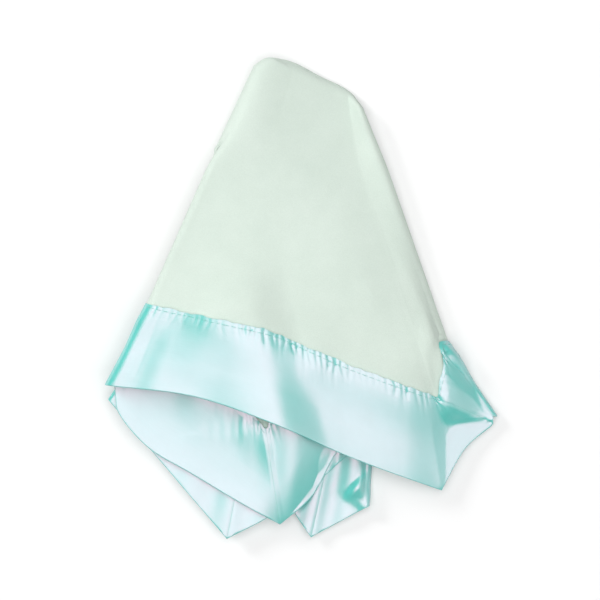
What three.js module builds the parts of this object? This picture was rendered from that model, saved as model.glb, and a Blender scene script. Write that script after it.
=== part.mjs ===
// A square comfort blanket: two plush panels with a wide satin binding folded over each edge and mitred
// at the corners. It is laid down after being picked up near its middle, so it falls into six plies
// under a rounded crown. Millimetres, +Z up, the floor at z = 0.
import * as THREE from "three";

// The flat blanket.
const blanketSide = 368;
const borderWidth = 50;
const plushThickness = 1;
const panelGap = 0.4;
const satinThickness = 0.4;
const satinGap = 0.3;
const clearance = 0.3;
const tuckDepth = 8;
const lapSlope = 6;
const mitreGap = 0.5;

// How loosely it lies.
const airGap = 0.8;
const loftUnderTopPly = 1;
const sagStep = 0.15;
const crownEndGap = 6;
const hemEndGap = 1;
const heapCell = 4;
const heapReach = 5;

// Colours and finishes.
const plushColour = "#d9e7dd";
const satinColour = "#a6e2da";
const plushRoughness = 0.95;
const satinRoughness = 0.35;

// Counts and slopes.
const turnSteps = 4;
const innerSettling = 16;
const topSettling = 24;
const turnReach = 3;
const heapSlope = 1;

// The crown of the heap, right to left along the ridge, and the neck below it where the pleats begin.
// Places on the heap are shares of the blanket's side.
const ridgeShares = [
  [0.094, 0.294],
  [0.077, 0.315],
  [0.031, 0.34],
  [-0.026, 0.366],
  [-0.052, 0.368],
  [-0.068, 0.358],
];
const neckShares = [
  [0.131, 0.203],
  [-0.125, 0.235],
];

// The rows above and below the neck, and the share of the crown that its rounded ridge takes.
const ridgeTurnShare = 0.1;
const crownShares = [0, 0.02, ridgeTurnShare, 0.5];
const bodyShares = [0.02, 0.27, 0.52, 0.77];

// Each ply's hem from fold to fold, top ply first. hemShare is where the hem lies, a share of the side.
// inwardShare leads from there to the inner seam, in shares of the border's width. A corner of the
// blanket is named after the binding that starts there. To the right of its bend, the top ply's hem
// lies low.
const plies = [
  [
    { hemShare: [0.302, -0.178], inwardShare: [-0.56, 0.82], steps: 1 },
    { hemShare: [0.298, -0.189], inwardShare: [-0.65, 0.3], steps: 1, corner: "front" },
    { hemShare: [0.255, -0.225], inwardShare: [-0.4, 0.58], steps: 1 },
    { hemShare: [0.217, -0.291], inwardShare: [-0.19, 1.1], steps: 3, bend: true },
    { hemShare: [0.074, -0.238], inwardShare: [-0.09, 1.06], steps: 2 },
    { hemShare: [-0.043, -0.186], inwardShare: [-0.02, 1.01], steps: 2 },
    { hemShare: [-0.162, -0.146], inwardShare: [0.17, 0.88], steps: 3 },
    { hemShare: [-0.297, -0.129], inwardShare: [0.49, 0.91] },
  ],
  [
    { hemShare: [-0.297, -0.129], inwardShare: [0.49, 0.91], steps: 1 },
    { hemShare: [-0.271, -0.182], inwardShare: [0.4, 1], steps: 1 },
    { hemShare: [-0.232, -0.225], inwardShare: [0.3, 1.08], steps: 1 },
    { hemShare: [-0.169, -0.263], inwardShare: [0.16, 1.18], steps: 1 },
    { hemShare: [-0.097, -0.306], inwardShare: [0, 1.2], steps: 1 },
    { hemShare: [-0.031, -0.343], inwardShare: [-0.16, 1.07], steps: 1, corner: "left" },
    { hemShare: [0.015, -0.303], inwardShare: [-0.3, 1.09], steps: 1 },
    { hemShare: [0.054, -0.235], inwardShare: [-0.4, 1.11], steps: 1 },
    { hemShare: [0.197, -0.062], inwardShare: [-0.81, 0.63] },
  ],
  [
    { hemShare: [0.197, -0.062], inwardShare: [-0.81, 0.63], steps: 2 },
    { hemShare: [0.077, -0.231], inwardShare: [-0.51, 0.91], steps: 2 },
    { hemShare: [-0.054, -0.335], inwardShare: [0, 1.25], steps: 1 },
    { hemShare: [-0.112, -0.365], inwardShare: [0.27, 1.39], steps: 2, corner: "rear" },
    { hemShare: [-0.21, -0.25], inwardShare: [0.53, 0.97], steps: 2 },
    { hemShare: [-0.293, -0.152], inwardShare: [0.6, 0.86] },
  ],
  [
    { hemShare: [-0.293, -0.152], inwardShare: [0.6, 0.86], steps: 2 },
    { hemShare: [-0.12, -0.105], inwardShare: [0.42, 1.02], steps: 1 },
    { hemShare: [-0.045, -0.235], inwardShare: [0.33, 1.07], steps: 1 },
    { hemShare: [-0.006, -0.329], inwardShare: [0.35, 1.32], steps: 1 },
    { hemShare: [0.017, -0.363], inwardShare: [0.3, 1.39], steps: 2, corner: "right" },
    { hemShare: [0.106, -0.315], inwardShare: [0.06, 1.02] },
  ],
  [
    { hemShare: [0.106, -0.315], inwardShare: [0.06, 1.02], steps: 1 },
    { hemShare: [-0.031, -0.223], inwardShare: [0.23, 0.91], steps: 2 },
    { hemShare: [-0.2, -0.154], inwardShare: [0.51, 0.8] },
  ],
  [
    { hemShare: [-0.2, -0.154], inwardShare: [0.51, 0.8] },
    { hemShare: [0.302, -0.178], inwardShare: [-0.56, 0.82] },
  ],
];

// Soft ridges that stand up from a ply, each along a line across it. Everything in them is a share of
// the side, and the two reaches lie to the left and to the right of the line, seen from above.
const ridges = [
  {
    ply: 0,
    lineShares: [
      [-0.102, -0.019],
      [-0.037, -0.2],
    ],
    heightShare: 0.0163,
    reachShares: [0.146, 0.08],
  },
  {
    ply: 0,
    lineShares: [
      [0.135, -0.102],
      [0.105, -0.262],
    ],
    heightShare: 0.0122,
    reachShares: [0.102, 0.102],
  },
];
const ridgeFadeShare = 0.25;

// To the right of this place and below it, seen from above, the top ply's border lies low as well.
const lowBorderShares = [0.222, -0.18];

const plushHalf = panelGap / 2 + plushThickness;
const lapHalf = plushHalf + clearance + satinThickness;
const bandHalf = satinGap / 2 + satinThickness;
const weld = clearance / 100;
const topPly = 0;
const bottomPly = plies.length - 1;

const mix = (a, b, t) => a.map((value, i) => value + (b[i] - value) * t);
const flatDistance = (a, b) => Math.hypot(b[0] - a[0], b[1] - a[1]);
const onBlanket = (share) => share.map((value) => value * blanketSide);
const offset = (point, direction, by) => point.map((value, i) => value + direction[i] * by);

// The place at a share of the way along a line of points.
function along(points, share) {
  const lengths = points.slice(1).map((point, i) => flatDistance(points[i], point));
  let left = share * lengths.reduce((sum, length) => sum + length, 0);
  let i = 0;
  while (i < lengths.length - 1 && left > lengths[i]) left -= lengths[i++];
  return mix(points[i], points[i + 1], left / lengths[i]);
}

// Where a column lies, seen from above, at a distance in from the hem.
function insetPlace(column, inset) {
  return offset(column.hem, column.inward, inset);
}

// The columns of one ply: lines that run down the cloth from the crown to the hem.
function plyColumns(stops, ply) {
  return stops.flatMap((stop, i) => {
    const next = stops[i + 1] ?? stop;
    return Array.from({ length: stop.steps ?? 1 }, (_, step) => ({
      ply,
      depth: ply,
      across: 1,
      hem: onBlanket(mix(stop.hemShare, next.hemShare, step / (stop.steps ?? 1))),
      inward: mix(stop.inwardShare, next.inwardShare, step / (stop.steps ?? 1)),
      corner: step === 0 ? stop.corner : undefined,
    }));
  });
}

// The columns of the top ply, each with how far across the heap it lies: 0 at the right, 1 at the left.
function topColumns() {
  const columns = plyColumns(plies[topPly], topPly);
  const seams = columns.map((column) => insetPlace(column, borderWidth));
  let run = 0;
  const runs = seams.map((seam, i) => (i ? (run += flatDistance(seams[i - 1], seam)) : run));
  return columns.map((column, i) => ({ ...column, across: runs[i] / run }));
}

// The bottom ply has a column under each one of the top ply, in the other order, so that the two meet
// along the ridge.
function bottomColumns(top) {
  const [from, to] = plies[bottomPly];
  return [...top].reverse().map(({ across }) => ({
    ply: bottomPly,
    depth: bottomPly,
    across,
    hem: onBlanket(mix(from.hemShare, to.hemShare, 1 - across)),
    inward: mix(from.inwardShare, to.inwardShare, 1 - across),
  }));
}

// The columns of the turn that joins the end of one ply to the start of the next.
function turnColumns(before, after) {
  const end = before.at(-1);
  const start = after[0];
  return Array.from({ length: turnSteps - 1 }, (_, i) => ({
    turnFrom: end.ply,
    depth: mix([end.ply], [start.ply], (i + 1) / turnSteps)[0],
    across: start.across,
    hem: end.hem,
    inward: end.inward,
  }));
}

// All columns in order round the blanket.
function blanketColumns() {
  const top = topColumns();
  const middle = plies.slice(1, bottomPly).map((stops, i) => plyColumns(stops, i + 1));
  const all = [top, ...middle, bottomColumns(top)];
  return all.flatMap((columns, i) => [...columns, ...turnColumns(columns, all[(i + 1) % all.length])]);
}

// The rows of the cloth, from the ridge down to the hem. In the gathered rows, above the neck, only the
// top and bottom plies have any width.
function blanketRows() {
  const gathered = crownShares.map((crownShare) => ({ crownShare, half: plushHalf }));
  const body = bodyShares.map((bodyShare) => ({ bodyShare, half: plushHalf }));
  const lap = { half: lapHalf, inner: plushHalf + clearance };
  const band = { half: bandHalf, inner: satinGap / 2 };
  const lapEnd = borderWidth - tuckDepth - clearance;
  return [
    ...gathered,
    ...body,
    { inset: borderWidth, ...lap },
    { inset: lapEnd, ...lap },
    { inset: lapEnd - lapSlope, ...band },
    { inset: 0, ...band },
  ];
}

// Where a row crosses a column, seen from above.
function crossing(row, column) {
  const neck = onBlanket(along(neckShares, column.across));
  if (row.crownShare !== undefined) {
    return mix(onBlanket(along(ridgeShares, column.across)), neck, row.crownShare);
  }
  if (row.bodyShare !== undefined) return mix(neck, insetPlace(column, borderWidth), row.bodyShare);
  return insetPlace(column, row.inset);
}

// The height of what already lies on the floor, on square cells.
class Heap {
  heights = new Map();
  spread = new Map();

  keyAt(x, y, right = 0, up = 0) {
    return Math.round(x / heapCell) + right + "," + (Math.round(y / heapCell) + up);
  }

  // Raises every cell under a quad whose corners are [x, y, height].
  cover(quad) {
    for (const [x, y, height] of samplesOf(quad).map(({ place }) => place)) {
      const key = this.keyAt(x, y);
      this.heights.set(key, Math.max(height, this.heights.get(key) ?? 0));
    }
  }

  // Spreads each cell's height to the cells within reach, and to those beyond it less and less, which
  // keeps a ply clear of steep sides.
  spreadOut() {
    this.spread = new Map();
    const reach = Math.ceil((2 * heapReach) / heapCell);
    for (const [key, height] of this.heights) {
      const [i, j] = key.split(",").map((cell) => cell * heapCell);
      for (let right = -reach; right <= reach; right++) {
        for (let up = -reach; up <= reach; up++) {
          const beyond = Math.max(0, Math.hypot(right, up) * heapCell - heapReach);
          if (beyond > heapReach) continue;
          const near = this.keyAt(i, j, right, up);
          this.spread.set(near, Math.max(height - beyond * heapSlope, this.spread.get(near) ?? 0));
        }
      }
    }
  }

  under([x, y]) {
    return this.spread.get(this.keyAt(x, y)) ?? 0;
  }
}

// Places spread over a quad about half a cell apart, each with the share that every corner has in it.
function samplesOf([a, b, c, d]) {
  const sides = [flatDistance(a, b), flatDistance(b, c), flatDistance(c, d), flatDistance(d, a)];
  const count = Math.ceil((2 * Math.max(...sides)) / heapCell) + 1;
  const samples = [];
  for (let i = 0; i <= count; i++) {
    for (let j = 0; j <= count; j++) {
      const [u, v] = [i / count, j / count];
      const place = mix(mix(a, b, u), mix(d, c, u), v);
      samples.push({ place, parts: [(1 - u) * (1 - v), u * (1 - v), u * v, (1 - u) * v] });
    }
  }
  return samples;
}

// The places of a ply in the grid, by their column numbers.
function membersOf(columns, ply) {
  return columns.flatMap((column, c) => (column.ply === ply ? [c] : []));
}

// The corners of every quad of an open sheet.
function quadsOf(sheet) {
  return sheet.slice(1).flatMap((line, r) =>
    line.slice(1).map((_, m) => [sheet[r][m], sheet[r][m + 1], sheet[r + 1][m + 1], sheet[r + 1][m]]),
  );
}

// Lets the plies down on each other, the bottom one first, which gives each place its height.
function settle(grid, rows, columns) {
  const heap = new Heap();
  for (let ply = bottomPly; ply >= topPly; ply--) {
    const inner = ply !== topPly && ply !== bottomPly;
    const firstRow = inner ? crownShares.length : 0;
    const slack = { [bottomPly]: 0, [topPly]: loftUnderTopPly }[ply] ?? airGap;
    const passes = { [bottomPly]: 0, [topPly]: topSettling }[ply] ?? innerSettling;
    const halves = rows.slice(firstRow).map((row) => row.half);
    const sheet = grid.slice(firstRow).map((line) => membersOf(columns, ply).map((c) => line[c]));
    sheet.forEach((line, r) => line.forEach((point) => (point[2] = heap.under(point) + slack + halves[r])));
    const held = ply === topPly ? heldDown(sheet, halves, heap) : [];
    for (let pass = 0; pass < passes; pass++) {
      relax(sheet);
      held.forEach(({ point, height }) => (point[2] = height));
      lift(sheet, halves, heap, slack);
    }
    sheet.forEach((line) => line.forEach((point) => (point[2] += ridgeLift(point, ply))));
    const raised = sheet.map((line, r) => line.map(([x, y, z]) => [x, y, z + halves[r]]));
    quadsOf(raised).forEach((quad) => heap.cover(quad));
    heap.spreadOut();
  }
}

// The places of the top ply that are drawn down to the ply under them, each with its height: the right
// end, and the border to the right of the bend.
function heldDown(sheet, halves, heap) {
  const bend = plies[topPly].slice(0, plies[topPly].findIndex((stop) => stop.bend));
  const bendColumn = bend.reduce((count, stop) => count + stop.steps, 0);
  const [right, low] = onBlanket(lowBorderShares);
  const hem = sheet.length - 1;
  return sheet.flatMap((line, r) =>
    line.flatMap((point, m) => {
      const onHem = r === hem && m <= bendColumn;
      const onBorder = point[0] > right && point[1] < low;
      if (m > 0 && !onHem && !onBorder) return [];
      const gap = crownEndGap + ((hemEndGap - crownEndGap) * r) / hem;
      return [{ point, height: heap.under(point) + halves[r] + gap }];
    }),
  );
}

// How far the soft ridges raise a place of a ply.
function ridgeLift(point, ply) {
  const lifts = ridges
    .filter((ridge) => ridge.ply === ply)
    .map(({ lineShares, heightShare, reachShares }) => {
      const [from, to] = lineShares.map(onBlanket);
      const length = flatDistance(from, to);
      const way = [(to[0] - from[0]) / length, (to[1] - from[1]) / length];
      const away = [point[0] - from[0], point[1] - from[1]];
      const down = (away[0] * way[0] + away[1] * way[1]) / length;
      const aside = away[0] * way[1] - away[1] * way[0];
      const reach = onBlanket(reachShares)[aside > 0 ? 0 : 1];
      const profile = (1 + Math.cos(Math.PI * Math.min(1, Math.abs(aside) / reach))) / 2;
      const fade = Math.max(0, Math.min(1, 1 + Math.min(down, 1 - down) / ridgeFadeShare));
      return heightShare * blanketSide * profile * fade;
    });
  return Math.max(0, ...lifts);
}

// Draws each place of a sheet towards the mean height of its neighbours, and lets it sag.
function relax(sheet) {
  const before = sheet.map((line) => line.map((point) => point[2]));
  sheet.forEach((line, r) =>
    line.forEach((point, m) => {
      const near = [before[r - 1]?.[m], before[r + 1]?.[m], before[r][m - 1], before[r][m + 1]];
      const heights = near.filter((height) => height !== undefined);
      const mean = heights.reduce((sum, height) => sum + height, 0) / heights.length;
      point[2] = (before[r][m] + mean) / 2 - sagStep;
    }),
  );
}

// Lifts the corners of every quad that dips into the heap anywhere.
function lift(sheet, halves, heap, slack) {
  const undersides = sheet.map((line, r) => line.map((point) => ({ point, half: halves[r] })));
  for (const corners of quadsOf(undersides)) {
    for (const { place, parts } of samplesOf(corners.map(({ point }) => point))) {
      const height = corners.reduce((sum, { point }, k) => sum + parts[k] * point[2], 0);
      const half = corners.reduce((sum, corner, k) => sum + parts[k] * corner.half, 0);
      const dip = heap.under(place) + slack + half - height;
      if (dip <= 0) continue;
      const weight = parts.reduce((sum, part) => sum + part * part, 0);
      corners.forEach(({ point }, k) => (point[2] += (dip * parts[k]) / weight));
    }
  }
}

// Rounds the ridge, where the top and bottom plies meet.
function roundRidge(grid, columns) {
  const flat = crownShares.indexOf(ridgeTurnShare);
  for (const [c, column] of columns.entries()) {
    if (column.ply !== topPly) continue;
    const under = columns.findIndex((other) => other.ply === bottomPly && other.across === column.across);
    const [high, low] = [grid[flat][c][2], grid[flat][under][2]];
    for (let r = 0; r < flat; r++) {
      const lift = Math.sqrt(1 - (1 - crownShares[r] / ridgeTurnShare) ** 2);
      grid[r][c][2] = (high + low + (high - low) * lift) / 2;
      grid[r][under][2] = (high + low - (high - low) * lift) / 2;
    }
  }
}

// The direction, seen from above, in which a ply of one row runs out at its last column.
function runOut(line, members, fallback) {
  const [from, to] = [line[members.at(-2)], line[members.at(-1)]];
  const length = flatDistance(from, to);
  return length > weld ? [(to[0] - from[0]) / length, (to[1] - from[1]) / length, 0] : fallback;
}

// Draws the end of a ply back from its fold by a distance, and the columns near it by less.
function drawBack(line, members, direction, by) {
  const end = [...line[members[0]]];
  const reach = Math.min(turnReach * by, flatDistance(end, line[members.at(-1)]) / 2);
  for (const c of members) {
    const near = reach ? Math.max(0, 1 - flatDistance(end, line[c]) / reach) : 0;
    line[c] = offset(line[c], direction, -Math.min(by, reach) * near);
  }
}

// Rounds every turn of one row: half a circle as high as the step from one ply to the next. In a
// gathered row the left turn takes all the inner plies with it.
function roundTurns(line, row, columns) {
  const plyMembers = plies.map((_, ply) => membersOf(columns, ply));
  const leftward = runOut(line, plyMembers[topPly], [-1, 0, 0]);
  const rightward = leftward.map((value) => -value);
  plyMembers.forEach((members, ply) => {
    const closing = ply === bottomPly;
    const gathered = row.crownShare !== undefined && !closing;
    if (gathered && ply !== topPly) return;
    const after = plyMembers[closing ? topPly : gathered ? bottomPly : ply + 1];
    const direction = runOut(line, members, ply % 2 ? rightward : leftward);
    const [high, low] = [line[members.at(-1)][2], line[after[0]][2]];
    const radius = (high - low) / 2;
    drawBack(line, [...members].reverse(), direction, Math.abs(radius));
    drawBack(line, after, direction, Math.abs(radius));
    const end = line[members.at(-1)];
    const depths = [columns[members[0]].depth, columns[after[0]].depth];
    for (let c = members.at(-1) + 1; c !== after[0] && c < columns.length; c++) {
      const angle = (Math.PI * (columns[c].depth - depths[0])) / (depths[1] - depths[0]);
      const out = offset(end, direction, Math.abs(radius) * Math.sin(angle));
      line[c] = [out[0], out[1], (high + low) / 2 + radius * Math.cos(angle)];
    }
  });
}

// Calls back with the corners of every quad of a grid that is closed along its rows.
function eachQuad(grid, callback) {
  for (let r = 0; r + 1 < grid.length; r++) {
    grid[r].forEach((point, c) => {
      const next = (c + 1) % grid[r].length;
      callback(point, grid[r][next], grid[r + 1][next], grid[r + 1][c]);
    });
  }
}

// The direction square to the cloth at every place of the grid. Places that coincide share one.
function clothNormals(grid) {
  const sums = new Map();
  const keyOf = (point) => point.map((value) => Math.round(value / weld)).join();
  const add = (...corners) => {
    const [a, b, c] = corners.map((point) => new THREE.Vector3(...point));
    const face = b.sub(a).cross(c.sub(a));
    for (const corner of corners) {
      const key = keyOf(corner);
      sums.set(key, (sums.get(key) ?? new THREE.Vector3()).add(face));
    }
  };
  eachQuad(grid, (a, b, c, d) => {
    add(a, b, c);
    add(a, c, d);
  });
  return grid.map((line) => line.map((point) => sums.get(keyOf(point)).clone().normalize().toArray()));
}

// Gathers the triangles of one closed solid. Corners snap to a fine grid, so that places which
// coincide are welded, and triangles that shrink to nothing are left out.
class SolidBuilder {
  positions = [];

  triangle(...corners) {
    const [a, b, c] = corners.map((corner) => corner.map((value) => Math.round(value / weld) * weld));
    const same = (p, q) => p.every((value, i) => value === q[i]);
    if (same(a, b) || same(b, c) || same(c, a)) return;
    this.positions.push(...a, ...b, ...c);
  }

  quad(a, b, c, d) {
    this.triangle(a, b, c);
    this.triangle(a, c, d);
  }

  // Joins two lines of as many points with a strip of quads. turned splits each along its other diagonal.
  strip(a, b, turned = false) {
    for (let i = 0; i + 1 < a.length; i++) {
      if (turned) this.quad(b[i], b[i + 1], a[i + 1], a[i]);
      else this.quad(a[i], b[i], b[i + 1], a[i + 1]);
    }
  }

  geometry() {
    const geometry = new THREE.BufferGeometry();
    geometry.setAttribute("position", new THREE.Float32BufferAttribute(this.positions, 3));
    geometry.computeVertexNormals();
    return geometry;
  }
}

// A plush panel: the cloth between two distances from its middle surface, closed round its edge.
function panel(grid, normals, near, far) {
  const builder = new SolidBuilder();
  const shifted = (by) => grid.map((line, r) => line.map((point, c) => offset(point, normals[r][c], by)));
  const [outer, inner] = [shifted(far), shifted(near)];
  eachQuad(outer, (a, b, c, d) => builder.quad(a, b, c, d));
  eachQuad(inner, (a, b, c, d) => builder.quad(c, b, a, d));
  eachQuad([outer.at(-1), inner.at(-1)], (a, b, c, d) => builder.quad(a, b, c, d));
  return builder.geometry();
}

// One satin binding: a strip folded lengthwise over the hem, whose two wings lap the plush.
function binding(lines, normals, rows) {
  const builder = new SolidBuilder();
  const wing = rows.length;
  const sections = lines[0].map((_, c) => {
    const face = (side, depth) => rows.map((row, r) => offset(lines[r][c], normals[r][c], side * row[depth]));
    const hem = new THREE.Vector3(...lines.at(-1)[c]);
    const run = hem.clone().sub(new THREE.Vector3(...lines.at(-2)[c]));
    const fold = hem.add(run.setLength(bandHalf)).toArray();
    return {
      outer: [...face(1, "half"), fold, ...face(-1, "half").reverse()],
      inner: [...face(1, "inner"), ...face(-1, "inner").reverse()],
    };
  });
  for (let c = 0; c + 1 < sections.length; c++) {
    const [a, b] = [sections[c], sections[c + 1]];
    builder.strip(a.outer.slice(0, wing), b.outer.slice(0, wing));
    builder.strip(a.outer.slice(wing - 1), b.outer.slice(wing - 1), true);
    builder.strip(b.inner.slice(0, wing), a.inner.slice(0, wing), true);
    builder.strip(b.inner.slice(wing - 1), a.inner.slice(wing - 1));
    builder.quad(a.outer[0], a.inner[0], b.inner[0], b.outer[0]);
    builder.quad(a.inner.at(-1), a.outer.at(-1), b.outer.at(-1), b.inner.at(-1));
  }
  capEnd(builder, sections[0], wing);
  const end = sections.at(-1);
  capEnd(builder, { outer: [...end.outer].reverse(), inner: [...end.inner].reverse() }, wing);
  return builder.geometry();
}

// Closes one end of a binding, across both wings and the fold between them.
function capEnd(builder, { outer, inner }, wing) {
  const fold = outer[wing];
  builder.strip(inner.slice(0, wing), outer.slice(0, wing));
  builder.strip(inner.slice(wing), outer.slice(wing + 1));
  builder.triangle(inner[wing - 1], outer[wing - 1], fold);
  builder.triangle(inner[wing], inner[wing - 1], fold);
  builder.triangle(outer[wing + 1], inner[wing], fold);
}

// The columns from one corner to the next, as [places, normals], drawn back a little from the mitre seam
// at either end.
function bindingCloth(grid, normals, columns, corner) {
  const corners = columns.flatMap((column, c) => (column.corner ? [c] : []));
  const start = columns.findIndex((column) => column.corner === corner);
  const end = corners.find((c) => c > start) ?? corners[0] + columns.length;
  const numbers = Array.from({ length: end - start + 1 }, (_, i) => (start + i) % columns.length);
  const lines = grid.map((line) => {
    const points = numbers.map((c) => line[c]);
    const towards = (from, to) => {
      const run = new THREE.Vector3(...to).sub(new THREE.Vector3(...from));
      return offset(from, run.setLength(mitreGap / 2).toArray(), 1);
    };
    return [towards(points[0], points[1]), ...points.slice(1, -1), towards(points.at(-1), points.at(-2))];
  });
  return [lines, normals.map((line) => numbers.map((c) => line[c]))];
}

const columns = blanketColumns();
const rows = blanketRows();
const grid = rows.map((row) => columns.map((column) => [...crossing(row, column), 0]));
settle(grid, rows, columns);
roundRidge(grid, columns);
rows.forEach((row, r) => roundTurns(grid[r], row, columns));
const normals = clothNormals(grid);

const blanket = new THREE.Group();
blanket.name = "comfort_blanket";

function addPiece(name, geometry, color, roughness) {
  const mesh = new THREE.Mesh(geometry, new THREE.MeshStandardMaterial({ color, roughness, metalness: 0 }));
  mesh.name = name;
  blanket.add(mesh);
}

// The plush goes a little way under the binding and ends just short of where its wings close.
const seam = crownShares.length + bodyShares.length;
const tuckShare = tuckDepth / (tuckDepth + clearance);
const tuck = (lines) => lines[seam].map((value, c) => mix(value, lines[seam + 1][c], tuckShare));
const plushCloth = [grid, normals].map((lines) => [...lines.slice(0, seam + 1), tuck(lines)]);
addPiece("plush_face", panel(...plushCloth, panelGap / 2, plushHalf), plushColour, plushRoughness);
addPiece("plush_back", panel(...plushCloth, -plushHalf, -panelGap / 2), plushColour, plushRoughness);

for (const corner of ["front", "left", "rear", "right"]) {
  const cloth = bindingCloth(grid.slice(seam), normals.slice(seam), columns, corner);
  addPiece("satin_binding_" + corner, binding(...cloth, rows.slice(seam)), satinColour, satinRoughness);
}

// The origin is on the floor, under the middle of the heap's box.
const box = new THREE.Box3().setFromObject(blanket);
const middle = box.getCenter(new THREE.Vector3());
blanket.position.set(-middle.x, -middle.y, -box.min.z);

export default blanket;
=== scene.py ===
"""A square comfort blanket of two plush panels with a satin binding, laid down in six plies.

The flat blanket was picked up near its middle and laid on a white floor. One grid of places, the middle
surface of the cloth, is folded first. The plush panels, the four satin bindings and their stitches are
then made at their own distances from it. Sizes are in metres, with Z up.
"""

import logging
import math
from dataclasses import dataclass, field
from enum import Enum

import bpy
import numpy as np
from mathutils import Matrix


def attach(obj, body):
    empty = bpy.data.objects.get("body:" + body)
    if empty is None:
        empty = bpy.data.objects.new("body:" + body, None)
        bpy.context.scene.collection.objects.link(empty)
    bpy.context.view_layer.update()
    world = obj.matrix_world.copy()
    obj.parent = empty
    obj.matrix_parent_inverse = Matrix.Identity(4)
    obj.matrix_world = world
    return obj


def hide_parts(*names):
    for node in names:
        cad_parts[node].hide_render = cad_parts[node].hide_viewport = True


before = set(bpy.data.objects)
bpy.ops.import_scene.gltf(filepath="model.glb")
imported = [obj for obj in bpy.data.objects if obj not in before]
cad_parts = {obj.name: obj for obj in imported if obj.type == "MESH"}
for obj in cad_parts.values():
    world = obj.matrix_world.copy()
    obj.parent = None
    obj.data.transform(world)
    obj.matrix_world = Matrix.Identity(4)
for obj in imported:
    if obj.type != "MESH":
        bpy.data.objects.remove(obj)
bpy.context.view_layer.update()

log = logging.getLogger("comfort_blanket")

Point = tuple[float, float]
Place = tuple[float, float, float]
Colour = tuple[float, float, float]
Array = np.ndarray

TINY = 1e-12
NOISE_CELLS = 64
WHITE: Colour = (1.0, 1.0, 1.0)

# The Mix node's sockets share their names, so they are told apart by number.
MIX_FACTOR = 0
MIX_FIRST = 6
MIX_SECOND = 7
MIX_COLOUR = 2


class Corner(Enum):
    """The blanket's corners, each named after the binding that starts there."""

    FRONT = "front"
    LEFT = "left"
    REAR = "rear"
    RIGHT = "right"


class Zone(Enum):
    """The parts of the cloth that a line from the ridge to the hem runs through."""

    CROWN = "crown"
    BODY = "body"
    LAP = "lap"
    SLOPE = "slope"
    BAND = "band"


class Wing(Enum):
    """The two wings of a binding, by the side of the cloth that each lies on."""

    FACE = 1
    BACK = -1


@dataclass(frozen=True)
class BlanketSizes:
    """The sizes that the flat blanket was cut and sewn to."""

    side: float = 0.368
    border: float = 0.050
    plush: float = 0.001
    panel_gap: float = 0.0004
    satin: float = 0.0004
    satin_gap: float = 0.0003
    clearance: float = 0.0003
    tuck: float = 0.008
    lap_slope: float = 0.022
    mitre_gap: float = 0.00012
    stitch_inset: float = 0.0024

    @property
    def plush_half(self) -> float:
        """Distance from the middle surface to the outside of a plush panel."""
        return self.panel_gap / 2 + self.plush

    @property
    def lap_half(self) -> float:
        """Distance from the middle surface to the outside of the satin over the plush."""
        return self.plush_half + self.clearance + self.satin

    @property
    def band_half(self) -> float:
        """Distance from the middle surface to the outside of the satin past the plush."""
        return self.satin_gap / 2 + self.satin

    @property
    def strip_area(self) -> float:
        """The area of one satin strip, whose ends are cut as mitres."""
        return 2 * self.border * (self.side - self.border)

    @property
    def lap_end(self) -> float:
        """How far in from the hem the satin's wings start to close on each other."""
        return self.border - self.tuck - self.clearance


@dataclass(frozen=True)
class PhotoPlan:
    """Turns pixels of the photograph, seen from straight above, into places on the floor.

    The blanket's side would span side_px pixels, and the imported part's own middle lies at shift.
    """

    side_px: float = 650
    centre_px: float = 300
    image_px: float = 600
    shift: Point = (-0.000903, -0.000897)

    def pixel(self, sizes: BlanketSizes) -> float:
        """The width of one pixel on the floor."""
        return sizes.side / self.side_px

    def place(self, sizes: BlanketSizes, at_px: Point) -> Array:
        """The place on the floor under one pixel."""
        right, up = at_px[0] - self.centre_px, self.centre_px - at_px[1]
        return np.array([right, up]) * self.pixel(sizes)


@dataclass(frozen=True)
class Stop:
    """One place along a ply's hem.

    hem_share is a share of the blanket's side, and inward_share leads from the hem to the inner seam in
    shares of the border's width. The hem turns sharply at a corner and at a bend, and runs smoothly through
    every other stop.
    """

    hem_share: Point
    inward_share: Point
    corner: Corner | None = None
    bend: bool = False


RIDGE_SHARES: list[Point] = [
    (0.094, 0.294), (0.077, 0.315), (0.031, 0.34), (-0.026, 0.366), (-0.052, 0.368), (-0.068, 0.358),
]
NECK_SHARES: list[Point] = [(0.131, 0.203), (-0.125, 0.235)]
RIDGE_TURN_SHARE = 0.1

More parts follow.
